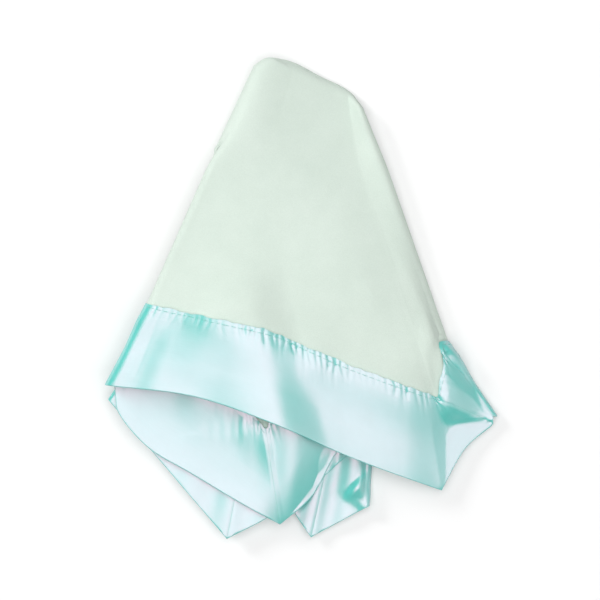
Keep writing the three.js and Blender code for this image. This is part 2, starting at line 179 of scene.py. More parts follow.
PLY_STOPS: list[list[Stop]] = [
    [
        Stop((0.302, -0.178), (-0.56, 0.82)),
        Stop((0.298, -0.189), (-0.65, 0.3), Corner.FRONT),
        Stop((0.255, -0.225), (-0.4, 0.58)),
        Stop((0.217, -0.291), (-0.19, 1.1), bend=True),
        Stop((0.074, -0.238), (-0.09, 1.06)),
        Stop((-0.043, -0.186), (-0.02, 1.01)),
        Stop((-0.162, -0.146), (0.17, 0.88)),
        Stop((-0.297, -0.129), (0.49, 0.91)),
    ],
    [
        Stop((-0.297, -0.129), (0.49, 0.91)),
        Stop((-0.271, -0.182), (0.4, 1.0)),
        Stop((-0.232, -0.225), (0.3, 1.08)),
        Stop((-0.169, -0.263), (0.16, 1.18)),
        Stop((-0.097, -0.306), (0, 1.2)),
        Stop((-0.031, -0.343), (-0.16, 1.07), Corner.LEFT),
        Stop((0.015, -0.303), (-0.3, 1.09)),
        Stop((0.054, -0.235), (-0.4, 1.11)),
        Stop((0.197, -0.062), (-0.81, 0.63)),
    ],
    [
        Stop((0.197, -0.062), (-0.81, 0.63)),
        Stop((0.077, -0.231), (-0.51, 0.91)),
        Stop((-0.054, -0.335), (0, 1.25)),
        Stop((-0.112, -0.365), (0.27, 1.39), Corner.REAR),
        Stop((-0.21, -0.25), (0.53, 0.97)),
        Stop((-0.293, -0.152), (0.6, 0.86)),
    ],
    [
        Stop((-0.293, -0.152), (0.6, 0.86)),
        Stop((-0.12, -0.105), (0.42, 1.02)),
        Stop((-0.045, -0.235), (0.33, 1.07)),
        Stop((-0.006, -0.329), (0.35, 1.32)),
        Stop((0.017, -0.363), (0.3, 1.39), Corner.RIGHT),
        Stop((0.106, -0.315), (0.06, 1.02)),
    ],
    [
        Stop((0.106, -0.315), (0.06, 1.02)),
        Stop((-0.031, -0.223), (0.23, 0.91)),
        Stop((-0.2, -0.154), (0.51, 0.8)),
    ],
    [
        Stop((-0.2, -0.154), (0.51, 0.8)),
        Stop((0.302, -0.178), (-0.56, 0.82)),
    ],
]
TOP_PLY = 0
BOTTOM_PLY = len(PLY_STOPS) - 1
TURN = -1


def run_lengths(points: Array) -> Array:
    """The distance from the first point to each point, along the line that they make."""
    steps = np.linalg.norm(np.diff(points, axis=0), axis=1)
    return np.concatenate([[0.0], np.cumsum(steps)])


def smooth_step(value: Array) -> Array:
    """Eases from 0 to 1 as value goes from 0 to 1."""
    t = np.clip(value, 0, 1)
    return t * t * (3 - 2 * t)


def unit(vectors: Array) -> Array:
    """Brings vectors, whose coordinates come last, to a length of 1."""
    return vectors / np.maximum(np.linalg.norm(vectors, axis=-1, keepdims=True), TINY)


@dataclass(frozen=True)
class Pleats:
    """Soft waves that fan out down one ply from the gathered neck."""

    height: float
    count: int
    fade_share: float = 0.35

    def rise(self, sheet: Array) -> Array:
        """How far the pleats raise a ply. They fade towards its folds and the neck.

        Args:
            sheet: The ply's places.

        Returns:
            The height at every place.
        """
        runs = run_lengths((sheet[-1] + sheet[len(sheet) // 2]) / 2)
        wave = 0.5 - 0.5 * np.cos(2 * math.pi * self.count * (runs / runs[-1]))
        down = smooth_step(np.linspace(0, 1, len(sheet)) / self.fade_share)
        return self.height * wave[None, :] * down[:, None]


PLEATS: dict[int, Pleats] = {2: Pleats(0.0010, 9), 3: Pleats(0.0016, 9)}


@dataclass(frozen=True)
class PhotoLine:
    """A line of the photograph that runs over one ply, from its start to its end in pixels."""

    ply: int
    start_px: Point
    end_px: Point

    def measure(
        self, plan: PhotoPlan, sizes: BlanketSizes, places: Array, soft: float
    ) -> tuple[Array, Array, Array]:
        """Measures places, as they are seen from above, against the line.

        Args:
            plan: Turns pixels into places on the floor.
            sizes: The blanket's sizes.
            places: Rows of two coordinates.
            soft: The share of the line's length over which its ends fade out.

        Returns:
            How far each place lies to the right of the way from start to end, its share of that way, and
            the fade, which is 1 beside the line and 0 well past its ends.
        """
        start = plan.place(sizes, self.start_px)
        run = plan.place(sizes, self.end_px) - start
        length = np.linalg.norm(run)
        way = run / length
        away = places - start
        down = (away @ way) / length
        aside = away @ np.array([way[1], -way[0]])
        fade = smooth_step((down + soft) / soft) * smooth_step((1 + soft - down) / soft)
        return aside, down, fade


@dataclass(frozen=True)
class Crease(PhotoLine):
    """A soft ridge that runs down one ply, along a line of the photograph.

    Every line runs down the photograph. The cloth rises to height on the line, from reach_left pixels on
    the picture's left and from reach_right pixels on its right. Both reaches grow by the factor widen down
    to the end. Ridges that meet add up.
    """

    height: float
    reach_left: float
    reach_right: float
    fade_share: float = 0.25
    widen: float = 1.0

    def rise(self, plan: PhotoPlan, sizes: BlanketSizes, places: Array) -> Array:
        """How far the ridge raises the cloth.

        Args:
            plan: Turns pixels into places on the floor.
            sizes: The blanket's sizes.
            places: Rows of two coordinates.

        Returns:
            The height at every place.
        """
        aside, down, fade = self.measure(plan, sizes, places, self.fade_share)
        reach = np.where(aside > 0, self.reach_left, self.reach_right) * plan.pixel(sizes)
        reach = reach * (1 + (self.widen - 1) * np.clip(down, 0, 1))
        profile = 0.5 + 0.5 * np.cos(math.pi * np.clip(aside / reach, -1, 1))
        return self.height * profile * fade


CREASES: list[Crease] = [
    Crease(0, (247, 312), (276, 424), 0.0068, 95, 48, 0.6),
    Crease(0, (408, 372), (402, 478), 0.0024, 92, 46, 0.5),
    Crease(0, (222, 318), (186, 400), 0.0020, 30, 90, 0.7, 3.0),
    Crease(0, (172, 346), (158, 388), 0.0015, 26, 60, 0.6),
    Crease(0, (444, 356), (450, 410), 0.0032, 16, 34, 0.3),
    Crease(1, (292, 428), (297, 514), 0.0030, 26, 30, 0.3),
    Crease(1, (264, 424), (280, 521), 0.0007, 110, 5, 0.06),
    Crease(3, (355, 491), (372, 504), 0.0030, 16, 40, 0.4),
    Crease(3, (358, 450), (360, 486), 0.0020, 34, 9, 0.35),
]


@dataclass(frozen=True)
class Droop(PhotoLine):
    """A stretch of one ply's hem that curls down towards what lies under it.

    The hem on the line sinks by depth, and the cloth inside it by less and less up to reach pixels from the
    line. The cloth lies on the left of the way from start to end.
    """

    depth: float
    reach: float
    fade_share: float = 0.2

    def sink(self, plan: PhotoPlan, sizes: BlanketSizes, places: Array) -> Array:
        """How far the curl draws the cloth down.

        Args:
            plan: Turns pixels into places on the floor.
            sizes: The blanket's sizes.
            places: Rows of two coordinates.

        Returns:
            The depth at every place.
        """
        aside, _, fade = self.measure(plan, sizes, places, self.fade_share)
        inside = -aside / (self.reach * plan.pixel(sizes))
        return self.depth * np.clip(1 - inside, 0, 1) ** 2 * fade


DROOPS: list[Droop] = [
    Droop(1, (283, 524), (352, 434), 0.0062, 36),
    Droop(2, (290, 500), (366, 436), 0.0050, 34),
]


def smooth_line(knots: Array, values: Array, at: Array) -> Array:
    """Draws a smooth curve through values and reads it at other places.

    Args:
        knots: Where each value lies along the curve, rising.
        values: One row for each knot.
        at: Where to read the curve.

    Returns:
        One row for each place in at.
    """
    slopes = np.gradient(values, knots, axis=0)
    first = np.clip(np.searchsorted(knots, at, side="right") - 1, 0, len(knots) - 2)
    width = (knots[first + 1] - knots[first])[:, None]
    t = ((at - knots[first]) / width[:, 0])[:, None]
    start = (1 + 2 * t) * (1 - t) ** 2 * values[first] + t * (1 - t) ** 2 * width * slopes[first]
    end = t * t * (3 - 2 * t) * values[first + 1] + t * t * (t - 1) * width * slopes[first + 1]
    return start + end


def soft_noise(places: Array, wavelength: float, seed: int) -> Array:
    """Smooth noise from -1 to 1 over places on a plane.

    Args:
        places: Rows of two coordinates.
        wavelength: The distance over which the noise changes.
        seed: Chooses the pattern.

    Returns:
        One value for each place.
    """
    table = np.random.default_rng(seed).uniform(-1, 1, (NOISE_CELLS, NOISE_CELLS))
    scaled = places / wavelength
    cell = np.floor(scaled).astype(int)
    part = smooth_step(scaled - cell)
    i, j = cell[..., 0] % NOISE_CELLS, cell[..., 1] % NOISE_CELLS
    next_i, next_j = (i + 1) % NOISE_CELLS, (j + 1) % NOISE_CELLS
    near = table[i, j] * (1 - part[..., 0]) + table[next_i, j] * part[..., 0]
    far = table[i, next_j] * (1 - part[..., 0]) + table[next_i, next_j] * part[..., 0]
    return near * (1 - part[..., 1]) + far * part[..., 1]


@dataclass
class Columns:
    """The lines that run down the cloth from the ridge to the hem, in order round the blanket.

    Each has its ply, or TURN in the turn between two plies, its depth among the plies, how far across the
    heap it lies, and where its hem is and which way its seam lies from there.
    """

    ply: Array
    depth: Array
    across: Array
    hem: Array
    inward: Array
    corners: dict[Corner, int] = field(default_factory=dict)
    bend: int = 0

    def __len__(self) -> int:
        """How many columns there are."""
        return len(self.ply)

    def members(self, ply: int) -> Array:
        """The numbers of one ply's columns."""
        return np.flatnonzero(self.ply == ply)


@dataclass
class ColumnPlan:
    """Spreads columns evenly along the hem of every ply and through every turn."""

    sizes: BlanketSizes
    spacing: float = 0.0009
    turn_steps: int = 10

    def ply_columns(self, ply: int) -> tuple[Array, Array, dict[Corner, int]]:
        """Draws one ply's hem as smooth curves that break at the blanket's corners and at bends.

        Args:
            ply: The ply's number, 0 on top.

        Returns:
            The hem places, the ways inward and the corners' numbers among them.
        """
        stops = PLY_STOPS[ply]
        hem = np.array([stop.hem_share for stop in stops]) * self.sizes.side
        inward = np.array([stop.inward_share for stop in stops])
        breaks = [0, *(i for i, stop in enumerate(stops) if stop.corner or stop.bend), len(stops) - 1]
        hems, ways, corners, count = [], [], {}, 0
        for first, last in zip(breaks, breaks[1:]):
            part = slice(first, last + 1)
            seam = hem[part] + inward[part] * self.sizes.border
            knots = run_lengths((hem[part] + seam) / 2)
            steps = max(2, math.ceil(knots[-1] / self.spacing))
            at = np.linspace(0, knots[-1], steps + 1)
            skip = 1 if first else 0
            if stops[first].corner:
                corners[stops[first].corner] = count - 1
            hems.append(smooth_line(knots, hem[part], at)[skip:])
            ways.append(smooth_line(knots, inward[part], at)[skip:])
            count += len(at) - skip
        return np.concatenate(hems), np.concatenate(ways), corners

    def columns(self) -> Columns:
        """Builds all columns: six plies and the turn after each of them.

        Returns:
            The columns in order round the blanket.
        """
        parts: list[dict[str, Array]] = []
        corners: dict[Corner, int] = {}
        count = 0
        top_hem, top_inward, _ = self.ply_columns(TOP_PLY)
        runs = run_lengths(top_hem + top_inward * self.sizes.border)
        top_across = runs / runs[-1]
        for ply in range(len(PLY_STOPS)):
            hem, inward, found = self.ply_columns(ply)
            across = top_across if ply == TOP_PLY else np.ones(len(hem))
            if ply == BOTTOM_PLY:
                across = top_across[::-1]
                hem = hem[0] + (hem[-1] - hem[0]) * (1 - across)[:, None]
                inward = inward[0] + (inward[-1] - inward[0]) * (1 - across)[:, None]
            corners.update({corner: count + number for corner, number in found.items()})
            following = 0 if ply == BOTTOM_PLY else ply + 1
            turn = np.arange(1, self.turn_steps) / self.turn_steps
            parts.append({
                "ply": np.concatenate([np.full(len(hem), ply), np.full(len(turn), TURN)]),
                "depth": np.concatenate([np.full(len(hem), float(ply)), ply + (following - ply) * turn]),
                "across": np.concatenate([across, np.full(len(turn), across[-1])]),
                "hem": np.concatenate([hem, np.repeat(hem[-1:], len(turn), axis=0)]),
                "inward": np.concatenate([inward, np.repeat(inward[-1:], len(turn), axis=0)]),
            })
            count += len(hem) + len(turn)
        joined = {name: np.concatenate([part[name] for part in parts]) for name in parts[0]}
        bend_place = next(stop for stop in PLY_STOPS[TOP_PLY] if stop.bend).hem_share
        away = np.linalg.norm(top_hem - np.array(bend_place) * self.sizes.side, axis=1)
        return Columns(**joined, corners=corners, bend=int(np.argmin(away)))


@dataclass
class Rows:
    """The lines that run round the cloth, from the ridge down to the hem.

    at is a share of the crown or of the body, and past the inner seam a distance in from the hem.
    """

    sizes: BlanketSizes
    ridge_steps: int = 8
    crown_steps: int = 24
    body_steps: int = 84
    lap_steps: int = 9
    slope_steps: int = 6
    band_steps: int = 32
    first_body_share: float = 0.02

    def __post_init__(self) -> None:
        """Lists every row's zone and place."""
        sizes = self.sizes
        ridge = RIDGE_TURN_SHARE * (1 - np.cos(np.linspace(0, math.pi / 2, self.ridge_steps)))
        crown = np.concatenate([ridge, np.linspace(RIDGE_TURN_SHARE, 1, self.crown_steps)[1:-1]])
        body = np.linspace(self.first_body_share, 1, self.body_steps)[:-1]
        stitch = sizes.border - sizes.stitch_inset
        lap = np.linspace(sizes.border, sizes.border - sizes.tuck, self.lap_steps)
        lap = np.append(np.unique(np.append(lap, stitch))[::-1], sizes.lap_end)
        slope = np.linspace(sizes.lap_end, sizes.lap_end - sizes.lap_slope, self.slope_steps)[1:]
        band = np.linspace(slope[-1], 0, self.band_steps)[1:]
        zones = list(zip(Zone, (crown, body, lap, slope, band), strict=True))
        self.zone = [zone for zone, places in zones for _ in places]
        self.at = np.concatenate([places for _, places in zones])
        self.stitch = int(np.argmin(np.abs(self.at - stitch) + [zone != Zone.LAP for zone in self.zone]))

    def __len__(self) -> int:
        """How many rows there are."""
        return len(self.at)

    def first(self, zone: Zone) -> int:
        """The number of a zone's first row."""
        return self.zone.index(zone)

    def count(self, *zones: Zone) -> int:
        """How many rows some zones hold."""
        return sum(zone in zones for zone in self.zone)

    @property
    def flat(self) -> int:
        """The row where the ridge's round turn ends."""
        return int(np.argmin(np.abs(self.at[: self.count(Zone.CROWN)] - RIDGE_TURN_SHARE)))

    def half(self) -> Array:
        """Finds how thick the cloth is.

        Returns:
            The distance from the middle surface to the outside of the cloth at every row.
        """
        sizes = self.sizes
        halves = {Zone.CROWN: sizes.plush_half, Zone.BODY: sizes.plush_half, Zone.LAP: sizes.lap_half}
        closing = (self.at - (sizes.lap_end - sizes.lap_slope)) / sizes.lap_slope
        sloped = sizes.band_half + (sizes.lap_half - sizes.band_half) * smooth_step(closing)
        return np.array([halves.get(zone, sloped[r]) for r, zone in enumerate(self.zone)])


@dataclass
class Heap:
    """The height of what already lies on the floor, on square cells.

    Every height holds sideways over reach, and falls away from there by slope, up to widest_reach. Places
    past the outermost cells are read at the rim, a small share of a cell inside them.
    """

    reach_of_floor: float
    cell: float = 0.0015
    samples: int = 4
    reach: float = 0.0022
    widest_reach: float = 0.0055
    slope: float = 1.0
    rim: float = 0.001

    def __post_init__(self) -> None:
        """Starts with a bare floor."""
        self.count = 2 * math.ceil(self.reach_of_floor / self.cell) + 1
        self.heights = np.zeros((self.count, self.count))
        self.spread = self.heights.copy()

    def cells(self, places: Array) -> Array:
        """Where places lie on the cells, in cells from the first."""
        return places[..., :2] / self.cell + (self.count - 1) / 2

    def cover(self, top: Array) -> None:
        """Raises every cell under a sheet's upper side, then spreads the heights sideways.

        Args:
            top: The sheet's places, rows by columns by three coordinates.
        """
        shares = np.arange(self.samples) / self.samples
        for u in shares:
            across = top[:, :-1] * (1 - u) + top[:, 1:] * u
            for v in shares:
                sample = across[:-1] * (1 - v) + across[1:] * v
                index = np.rint(self.cells(sample)).astype(int)
                np.maximum.at(self.heights, (index[..., 0], index[..., 1]), sample[..., 2])
        self.spread_out()

    def spread_out(self) -> None:
        """Lets each height reach the cells around it, less and less with distance."""
        self.spread = self.heights.copy()
        cells = math.ceil(self.widest_reach / self.cell)
        for right in range(-cells, cells + 1):
            for up in range(-cells, cells + 1):
                beyond = max(0.0, math.hypot(right, up) * self.cell - self.reach)
                moved = np.roll(self.heights, (right, up), axis=(0, 1)) - beyond * self.slope
                self.spread = np.maximum(self.spread, moved)

    def under(self, places: Array) -> Array:
        """Reads the spread height under each place.

        Args:
            places: Places with at least two coordinates last.

        Returns:
            One height for each place.
        """
        at = np.clip(self.cells(places), 0, self.count - 1 - self.rim)
        low = np.floor(at).astype(int)
        u, v = (at - low)[..., 0], (at - low)[..., 1]
        i, j = low[..., 0], low[..., 1]
        near = self.spread[i, j] * (1 - u) + self.spread[i + 1, j] * u
        far = self.spread[i, j + 1] * (1 - u) + self.spread[i + 1, j + 1] * u
        return near * (1 - v) + far * v


def every(step: int, count: int) -> Array:
    """Every few numbers up to count, with the last one among them."""
    return np.unique(np.append(np.arange(0, count, step), count - 1))


def spread_between(sparse: Array, lines: Array, columns: Array, shape: tuple[int, ...]) -> Array:
    """Fills a whole sheet from values at some of its rows and columns.

    Args:
        sparse: The values.
        lines: The rows that have them.
        columns: The columns that have them.
        shape: The sheet's rows and columns.

    Returns:
        A value for each place of the sheet.
    """
    across = np.stack([np.interp(np.arange(shape[1]), columns, line) for line in sparse])
    return np.stack([np.interp(np.arange(shape[0]), lines, column) for column in across.T], axis=1)


def neighbour_shares(sheet: Array, least_step: float = 1e-5) -> tuple[Array, Array]:
    """How much the place below counts against the one above, and the right one against the left one.

    Args:
        sheet: Rows by columns of places, whose spacing varies.
        least_step: Added to every step, so that places that coincide count evenly.

    Returns:
        Two arrays of shares. The nearer place of a pair has the larger share.
    """
    shares = []
    for axis in (0, 1):
        steps = np.linalg.norm(np.diff(sheet[..., :2], axis=axis), axis=2) + least_step
        before = np.concatenate([steps.take([0], axis), steps], axis)
        after = np.concatenate([steps, steps.take([-1], axis)], axis)
        shares.append(before / (before + after))
    return shares[0], shares[1]


def mean_of_neighbours(height: Array, shares: tuple[Array, Array]) -> Array:
    """Evens out a sheet by one step.

    Args:
        height: Rows by columns of values.
        shares: What neighbour_shares gives for the same sheet.

    Returns:
        The mean of the four values round each one, with the edges repeated.
    """
    wide = np.pad(height, 1, mode="edge")
    down, right = shares
    below = wide[:-2, 1:-1] * (1 - down) + wide[2:, 1:-1] * down
    beside = wide[1:-1, :-2] * (1 - right) + wide[1:-1, 2:] * right
    return (below + beside) / 2


@dataclass
class FoldedCloth:
    """The middle surface of the blanket, folded and laid down ply by ply.

    An inner ply floats by air_gap over what it lies on, and the top ply by loft. Each is stretched over
    that in ever finer steps, sags a little, is smoothed, and is lifted where it would dip into the ply
    below. The top ply is held down at its right end and along the low end of its border.
    """

    sizes: BlanketSizes
    plan: PhotoPlan
    air_gap: float = 0.0005
    touch: float = 0.0002
    loft: float = 0.0020
    sag: float = 0.0000006
    crown_sag_share: float = 1.5
    crown_end_gap: float = 0.006
    hem_end_gap: float = 0.003
    low_border_share: Point = (0.222, -0.18)
    border_tip_share: float = 0.292
    border_rise: float = 0.0030
    border_blend: float = 0.02
    settling: int = 120
    coarse_steps: tuple[int, ...] = (24, 12, 6, 3, 1)
    smoothing: int = 300
    lift_rounds: int = 8
    lift_smoothing: int = 60
    lift_share: float = 1.8
    turn_reach: float = 3.0
    turn_bulge: float = 0.667
    steepest: float = 0.8
    slope_columns: int = 5
    way_columns: int = 3
    least_run: float = 1e-4
    least_length: float = 1e-6
    same_place: float = 3e-6
    neck_reach: int = 14
    neck_passes: int = 60
    neck_ease: float = 0.6
    seam_puff: float = 0.0007
    ripple: float = 0.0005
    ripple_wavelength: float = 0.024
    ripple_seed: int = 5

    def __post_init__(self) -> None:
        """Folds the cloth."""
        self.rows = Rows(self.sizes)
        self.columns = ColumnPlan(self.sizes).columns()
        self.places = self.plan_places()
        self.settle()
        self.round_ridge()
        for row in range(len(self.rows)):
            self.round_turns(row)
        self.soften_neck()
        self.normals = self.cloth_normals()

    def shares_line(self, shares: list[Point], across: Array) -> Array:
        """Draws a smooth line across the heap.

        Args:
            shares: The line's points, in shares of the blanket's side.
            across: How far across the heap to read it.

        Returns:
            One place for each share across.
        """
        points = np.array(shares) * self.sizes.side
        knots = run_lengths(points)
        return smooth_line(knots, points, across * knots[-1])

    def plan_places(self) -> Array:
        """Lays out every place as it is seen from above, at no height yet.

        Returns:
            Rows by columns of places.
        """
        columns, rows = self.columns, self.rows
        ridge = self.shares_line(RIDGE_SHARES, columns.across)
        neck = self.shares_line(NECK_SHARES, columns.across)
        seam = columns.hem + columns.inward * self.sizes.border
        places = np.zeros((len(rows), len(columns), 3))
        for row, (zone, at) in enumerate(zip(rows.zone, rows.at)):
            if zone == Zone.CROWN:
                places[row, :, :2] = ridge + (neck - ridge) * at
            elif zone == Zone.BODY:
                places[row, :, :2] = neck + (seam - neck) * at
            else:
                places[row, :, :2] = columns.hem + columns.inward * at
        return places

    def ply_rows(self, ply: int) -> slice:
        """The rows where a ply has any width."""
        inner = ply not in (TOP_PLY, BOTTOM_PLY)
        return slice(self.rows.first(Zone.BODY) if inner else 0, None)

    def settle(self) -> None:
        """Lets the plies down on each other, the bottom one first."""
        heap = Heap(self.sizes.side / 2)
        half = self.rows.half()[:, None]
        lapped = np.array([zone == Zone.LAP for zone in self.rows.zone])[:, None]
        for ply in range(BOTTOM_PLY, TOP_PLY - 1, -1):
            members, rows = self.columns.members(ply), self.ply_rows(ply)
            sheet = self.places[rows][:, members]
            slack = {TOP_PLY: self.loft, BOTTOM_PLY: 0.0}.get(ply, self.air_gap)
            floor = heap.under(sheet) + slack + half[rows]
            sheet[..., 2] = self.relaxed(floor, sheet, ply)
            if ply != BOTTOM_PLY:
                sheet[..., 2] += self.relief(sheet, ply)
                lowest = np.minimum(sheet[..., 2], floor - slack + self.touch)
                sheet[..., 2] = np.maximum(sheet[..., 2] - self.sunk(sheet, ply), lowest)
            self.places[rows, members] = sheet
            top = sheet.copy()
            top[..., 2] += half[rows] + lapped[rows] * self.seam_puff
            heap.cover(top)

    def relaxed(self, floor: Array, sheet: Array, ply: int) -> Array:
        """Stretches a ply over what it lies on.

        Args:
            floor: The least height of every place of the ply.
            sheet: The ply's places.
            ply: The ply's number.

        Returns:
            The height of every place.
        """
        if ply == BOTTOM_PLY:
            return floor
        held_places, floor = self.held_down(floor, sheet, ply)
        height = floor
        heavier = 1 + (self.crown_sag_share - 1) * np.linspace(1, 0, len(floor))[:, None]
        for step in self.coarse_steps:
            lines, columns = every(step, len(floor)), every(step, floor.shape[1])
            sag = self.sag * step**2 * heavier[lines]
            chosen = np.ix_(lines, columns)
            sparse, least, held = height[chosen], floor[chosen], held_places[chosen]
            shares = neighbour_shares(sheet[chosen])
            for _ in range(self.settling):
                sparse = np.where(held, least, np.maximum(mean_of_neighbours(sparse, shares) - sag, least))
            height = np.maximum(spread_between(sparse, lines, columns, floor.shape), floor)
        for _ in range(self.smoothing):
            height = np.where(held_places, floor, mean_of_neighbours(height, shares))
        least = floor - (self.loft if ply == TOP_PLY else self.air_gap)
        for _ in range(self.lift_rounds):
            short = np.maximum(0, least - height)
            for _ in range(self.lift_smoothing):
                short = mean_of_neighbours(short, shares)
            height = height + short * self.lift_share
        return np.maximum(height, least)

    def held_down(self, floor: Array, sheet: Array, ply: int) -> tuple[Array, Array]:
        """Finds the places that are held down: the top ply's right end, and its border right of the bend.

        Args:
            floor: The least height of every place of the ply.
            sheet: The ply's places.
            ply: The ply's number.

        Returns:
            Which places are held, and the least heights with theirs in them.
        """
        held, floor = np.zeros(floor.shape, dtype=bool), floor.copy()
        if ply == TOP_PLY:
            held[:, 0] = True
            held[-1, : self.columns.bend + 1] = True
            right, low = np.array(self.low_border_share) * self.sizes.side
            held |= (sheet[..., 0] > right) & (sheet[..., 1] < low)
            tip = self.border_tip_share * self.sizes.side
            rise = self.border_rise * np.clip((tip - sheet[..., 0]) / (tip - right), 0, 1)
            rise = rise * smooth_step((low + self.border_blend - sheet[..., 1]) / self.border_blend)
            gap = np.linspace(self.crown_end_gap, self.hem_end_gap, len(floor))[:, None] - self.loft
            floor = np.where(held, floor + gap + rise, floor)
        return held, floor

    def relief(self, sheet: Array, ply: int) -> Array:
        """The ridges and ripples that stand up from a ply.

        Args:
            sheet: The ply's places.
            ply: The ply's number.

        Returns:
            How far each place is raised, never below nothing.
        """
        raised = np.zeros(sheet.shape[:2])
        for crease in CREASES:
            if crease.ply == ply:
                raised += crease.rise(self.plan, self.sizes, sheet[..., :2])
        noise = soft_noise(sheet[..., :2], self.ripple_wavelength, self.ripple_seed + ply)
        pleated = PLEATS[ply].rise(sheet) if ply in PLEATS else 0.0
        return raised + self.ripple * (0.5 + 0.5 * noise) + pleated

    def sunk(self, sheet: Array, ply: int) -> Array:
        """How far the curled stretches of a ply's hem sink at every place.

        Args:
            sheet: The ply's places.
            ply: The ply's number.

        Returns:
            The distance down.
        """
        sunk = np.zeros(sheet.shape[:2])
        for droop in DROOPS:
            if droop.ply == ply:
                sunk = np.maximum(sunk, droop.sink(self.plan, self.sizes, sheet[..., :2]))
        return sunk

    def round_ridge(self) -> None:
        """Rounds the ridge, where the top and bottom plies meet."""
        top = self.columns.members(TOP_PLY)
        under = self.columns.members(BOTTOM_PLY)[::-1]
        flat = self.rows.flat
        high, low = self.places[flat, top, 2], self.places[flat, under, 2]
        for row in range(flat):
            lift = math.sqrt(1 - (1 - self.rows.at[row] / RIDGE_TURN_SHARE) ** 2)
            self.places[row, top, 2] = (high + low + (high - low) * lift) / 2
            self.places[row, under, 2] = (high + low - (high - low) * lift) / 2

    def draw_back(self, line: Array, members: Array, way: Array, by: float) -> None:
        """Draws a ply's end back from its fold, and the places near it by less.

        Args:
            line: One row's places, changed in place.
            members: The ply's columns, the one at the fold first.
            way: The way out of the fold, seen from above.
            by: How far the end is drawn back.
        """
        end = line[members[0], :2].copy()
        reach = min(self.turn_reach * by, np.linalg.norm(end - line[members[-1], :2]) / 2)
        if reach <= 0:
            return
        distance = np.linalg.norm(line[members, :2] - end, axis=1)
        near = np.maximum(0, 1 - distance / reach)[:, None]
        line[members, :2] -= way * min(by, reach) * near

    def round_turns(self, row: int) -> None:
        """Rounds every turn of one row, from the end of one ply to the start of the next.

        Args:
            row: The row's number. Above the neck, the left turn takes all inner plies with it.
        """
        line, columns = self.places[row], self.columns
        crown = self.rows.zone[row] == Zone.CROWN
        groups = [columns.members(ply) for ply in range(len(PLY_STOPS))]
        leftward = self.way_out(line, groups[TOP_PLY], np.array([-1.0, 0.0]))
        for ply, members in enumerate(groups):
            closing = ply == BOTTOM_PLY
            if crown and not closing and ply != TOP_PLY:
                continue
            following = TOP_PLY if closing else BOTTOM_PLY if crown else ply + 1
            after = groups[following]
            way = self.way_out(line, members, -leftward if ply % 2 else leftward)
            high, low = line[members[-1], 2], line[after[0], 2]
            radius = abs(high - low) / 2
            self.draw_back(line, members[::-1], way, radius)
            self.draw_back(line, after, way, radius)
            last = len(columns) if closing else after[0]
            between = np.arange(members[-1] + 1, last)
            depth = (columns.depth[between] - ply) / (following - ply)
            line[between] = self.turned(line, members[::-1], after, depth, way)

    def turned(self, line: Array, before: Array, after: Array, depth: Array, way: Array) -> Array:
        """Draws a turn as a smooth curve that leaves one ply and enters the next along their slopes.

        Args:
            line: One row's places.
            before: The columns of the ply before the turn, the one at the turn first.
            after: The columns of the ply after the turn, the one at the turn first.
            depth: How far each place is through the turn, from 0 to 1.
            way: The way out of the turn, seen from above.

        Returns:
            The places of the turn.
        """
        start, end = line[before[0]], line[after[0]]
        reach = np.linalg.norm(end - start) * self.turn_bulge
        handles = []
        for place, members in ((start, before), (end, after)):
            inside = line[members[min(self.slope_columns, len(members) - 1)]]
            distance = np.linalg.norm(place[:2] - inside[:2])
            slope = (place[2] - inside[2]) / distance if distance > self.least_run else 0.0
            out = np.array([way[0], way[1], np.clip(slope, -self.steepest, self.steepest)])
            handles.append(place + out / np.linalg.norm(out) * reach)
        t = depth[:, None]
        early, late = 3 * (1 - t) ** 2 * t, 3 * (1 - t) * t * t
        return (1 - t) ** 3 * start + early * handles[0] + late * handles[1] + t**3 * end

    def soften_neck(self) -> None:
        """Smooths the step at the neck, where one wide turn on the left becomes several narrow ones."""
        neck, reach = self.rows.first(Zone.BODY), self.neck_reach
        top = self.columns.members(TOP_PLY)
        chosen = np.arange(top[0], top[-1] + self.columns_in_turn)
        rows = np.arange(neck - reach, neck + reach)
        weight = np.sqrt(np.sin(np.linspace(0, math.pi, len(rows))))[:, None, None] * self.neck_ease
        for _ in range(self.neck_passes):
            part = self.places[rows[0] - 1 : rows[-1] + 2][:, chosen]
            mean = (part[:-2] + part[2:]) / 2
            self.places[rows[:, None], chosen] += (mean - part[1:-1]) * weight

    @property
    def columns_in_turn(self) -> int:
        """How many columns one turn has."""
        first = self.columns.members(TOP_PLY)[-1] + 1
        return int(self.columns.members(TOP_PLY + 1)[0] - first)

    def way_out(self, line: Array, members: Array, fallback: Array) -> Array:
        """Finds the way, seen from above, in which a ply runs out at its last column.

        Args:
            line: One row's places.
            members: The ply's columns.
            fallback: The way to take where the ply has no width.

        Returns:
            The way, with a length of 1.
        """
        run = line[members[-1], :2] - line[members[-1 - self.way_columns], :2]
        length = np.linalg.norm(run)
        return run / length if length > self.least_length else fallback

    def cloth_normals(self) -> Array:
        """Finds the way square to the cloth.

        Returns:
            The way at every place. Places that coincide share one.
        """
        places = self.places
        right, down = np.roll(places, -1, axis=1)[:-1], places[1:]
        diagonal = np.roll(places, -1, axis=1)[1:]
        here = places[:-1]
        faces = [np.cross(right - here, diagonal - here), np.cross(diagonal - here, down - here)]
        sums = np.zeros_like(places)
        sums[:-1] += faces[0] + faces[1]
        sums[1:] += faces[1]
        sums[:-1] += np.roll(faces[0], 1, axis=1)
        sums[1:] += np.roll(faces[0] + faces[1], 1, axis=1)
        keys = np.rint(places.reshape(-1, 3) / self.same_place).astype(np.int64)
        _, shared = np.unique(keys, axis=0, return_inverse=True)
        shared = shared.reshape(-1)
        total = np.zeros((shared.max() + 1, 3))
        np.add.at(total, shared, sums.reshape(-1, 3))
        return unit(total[shared].reshape(places.shape))


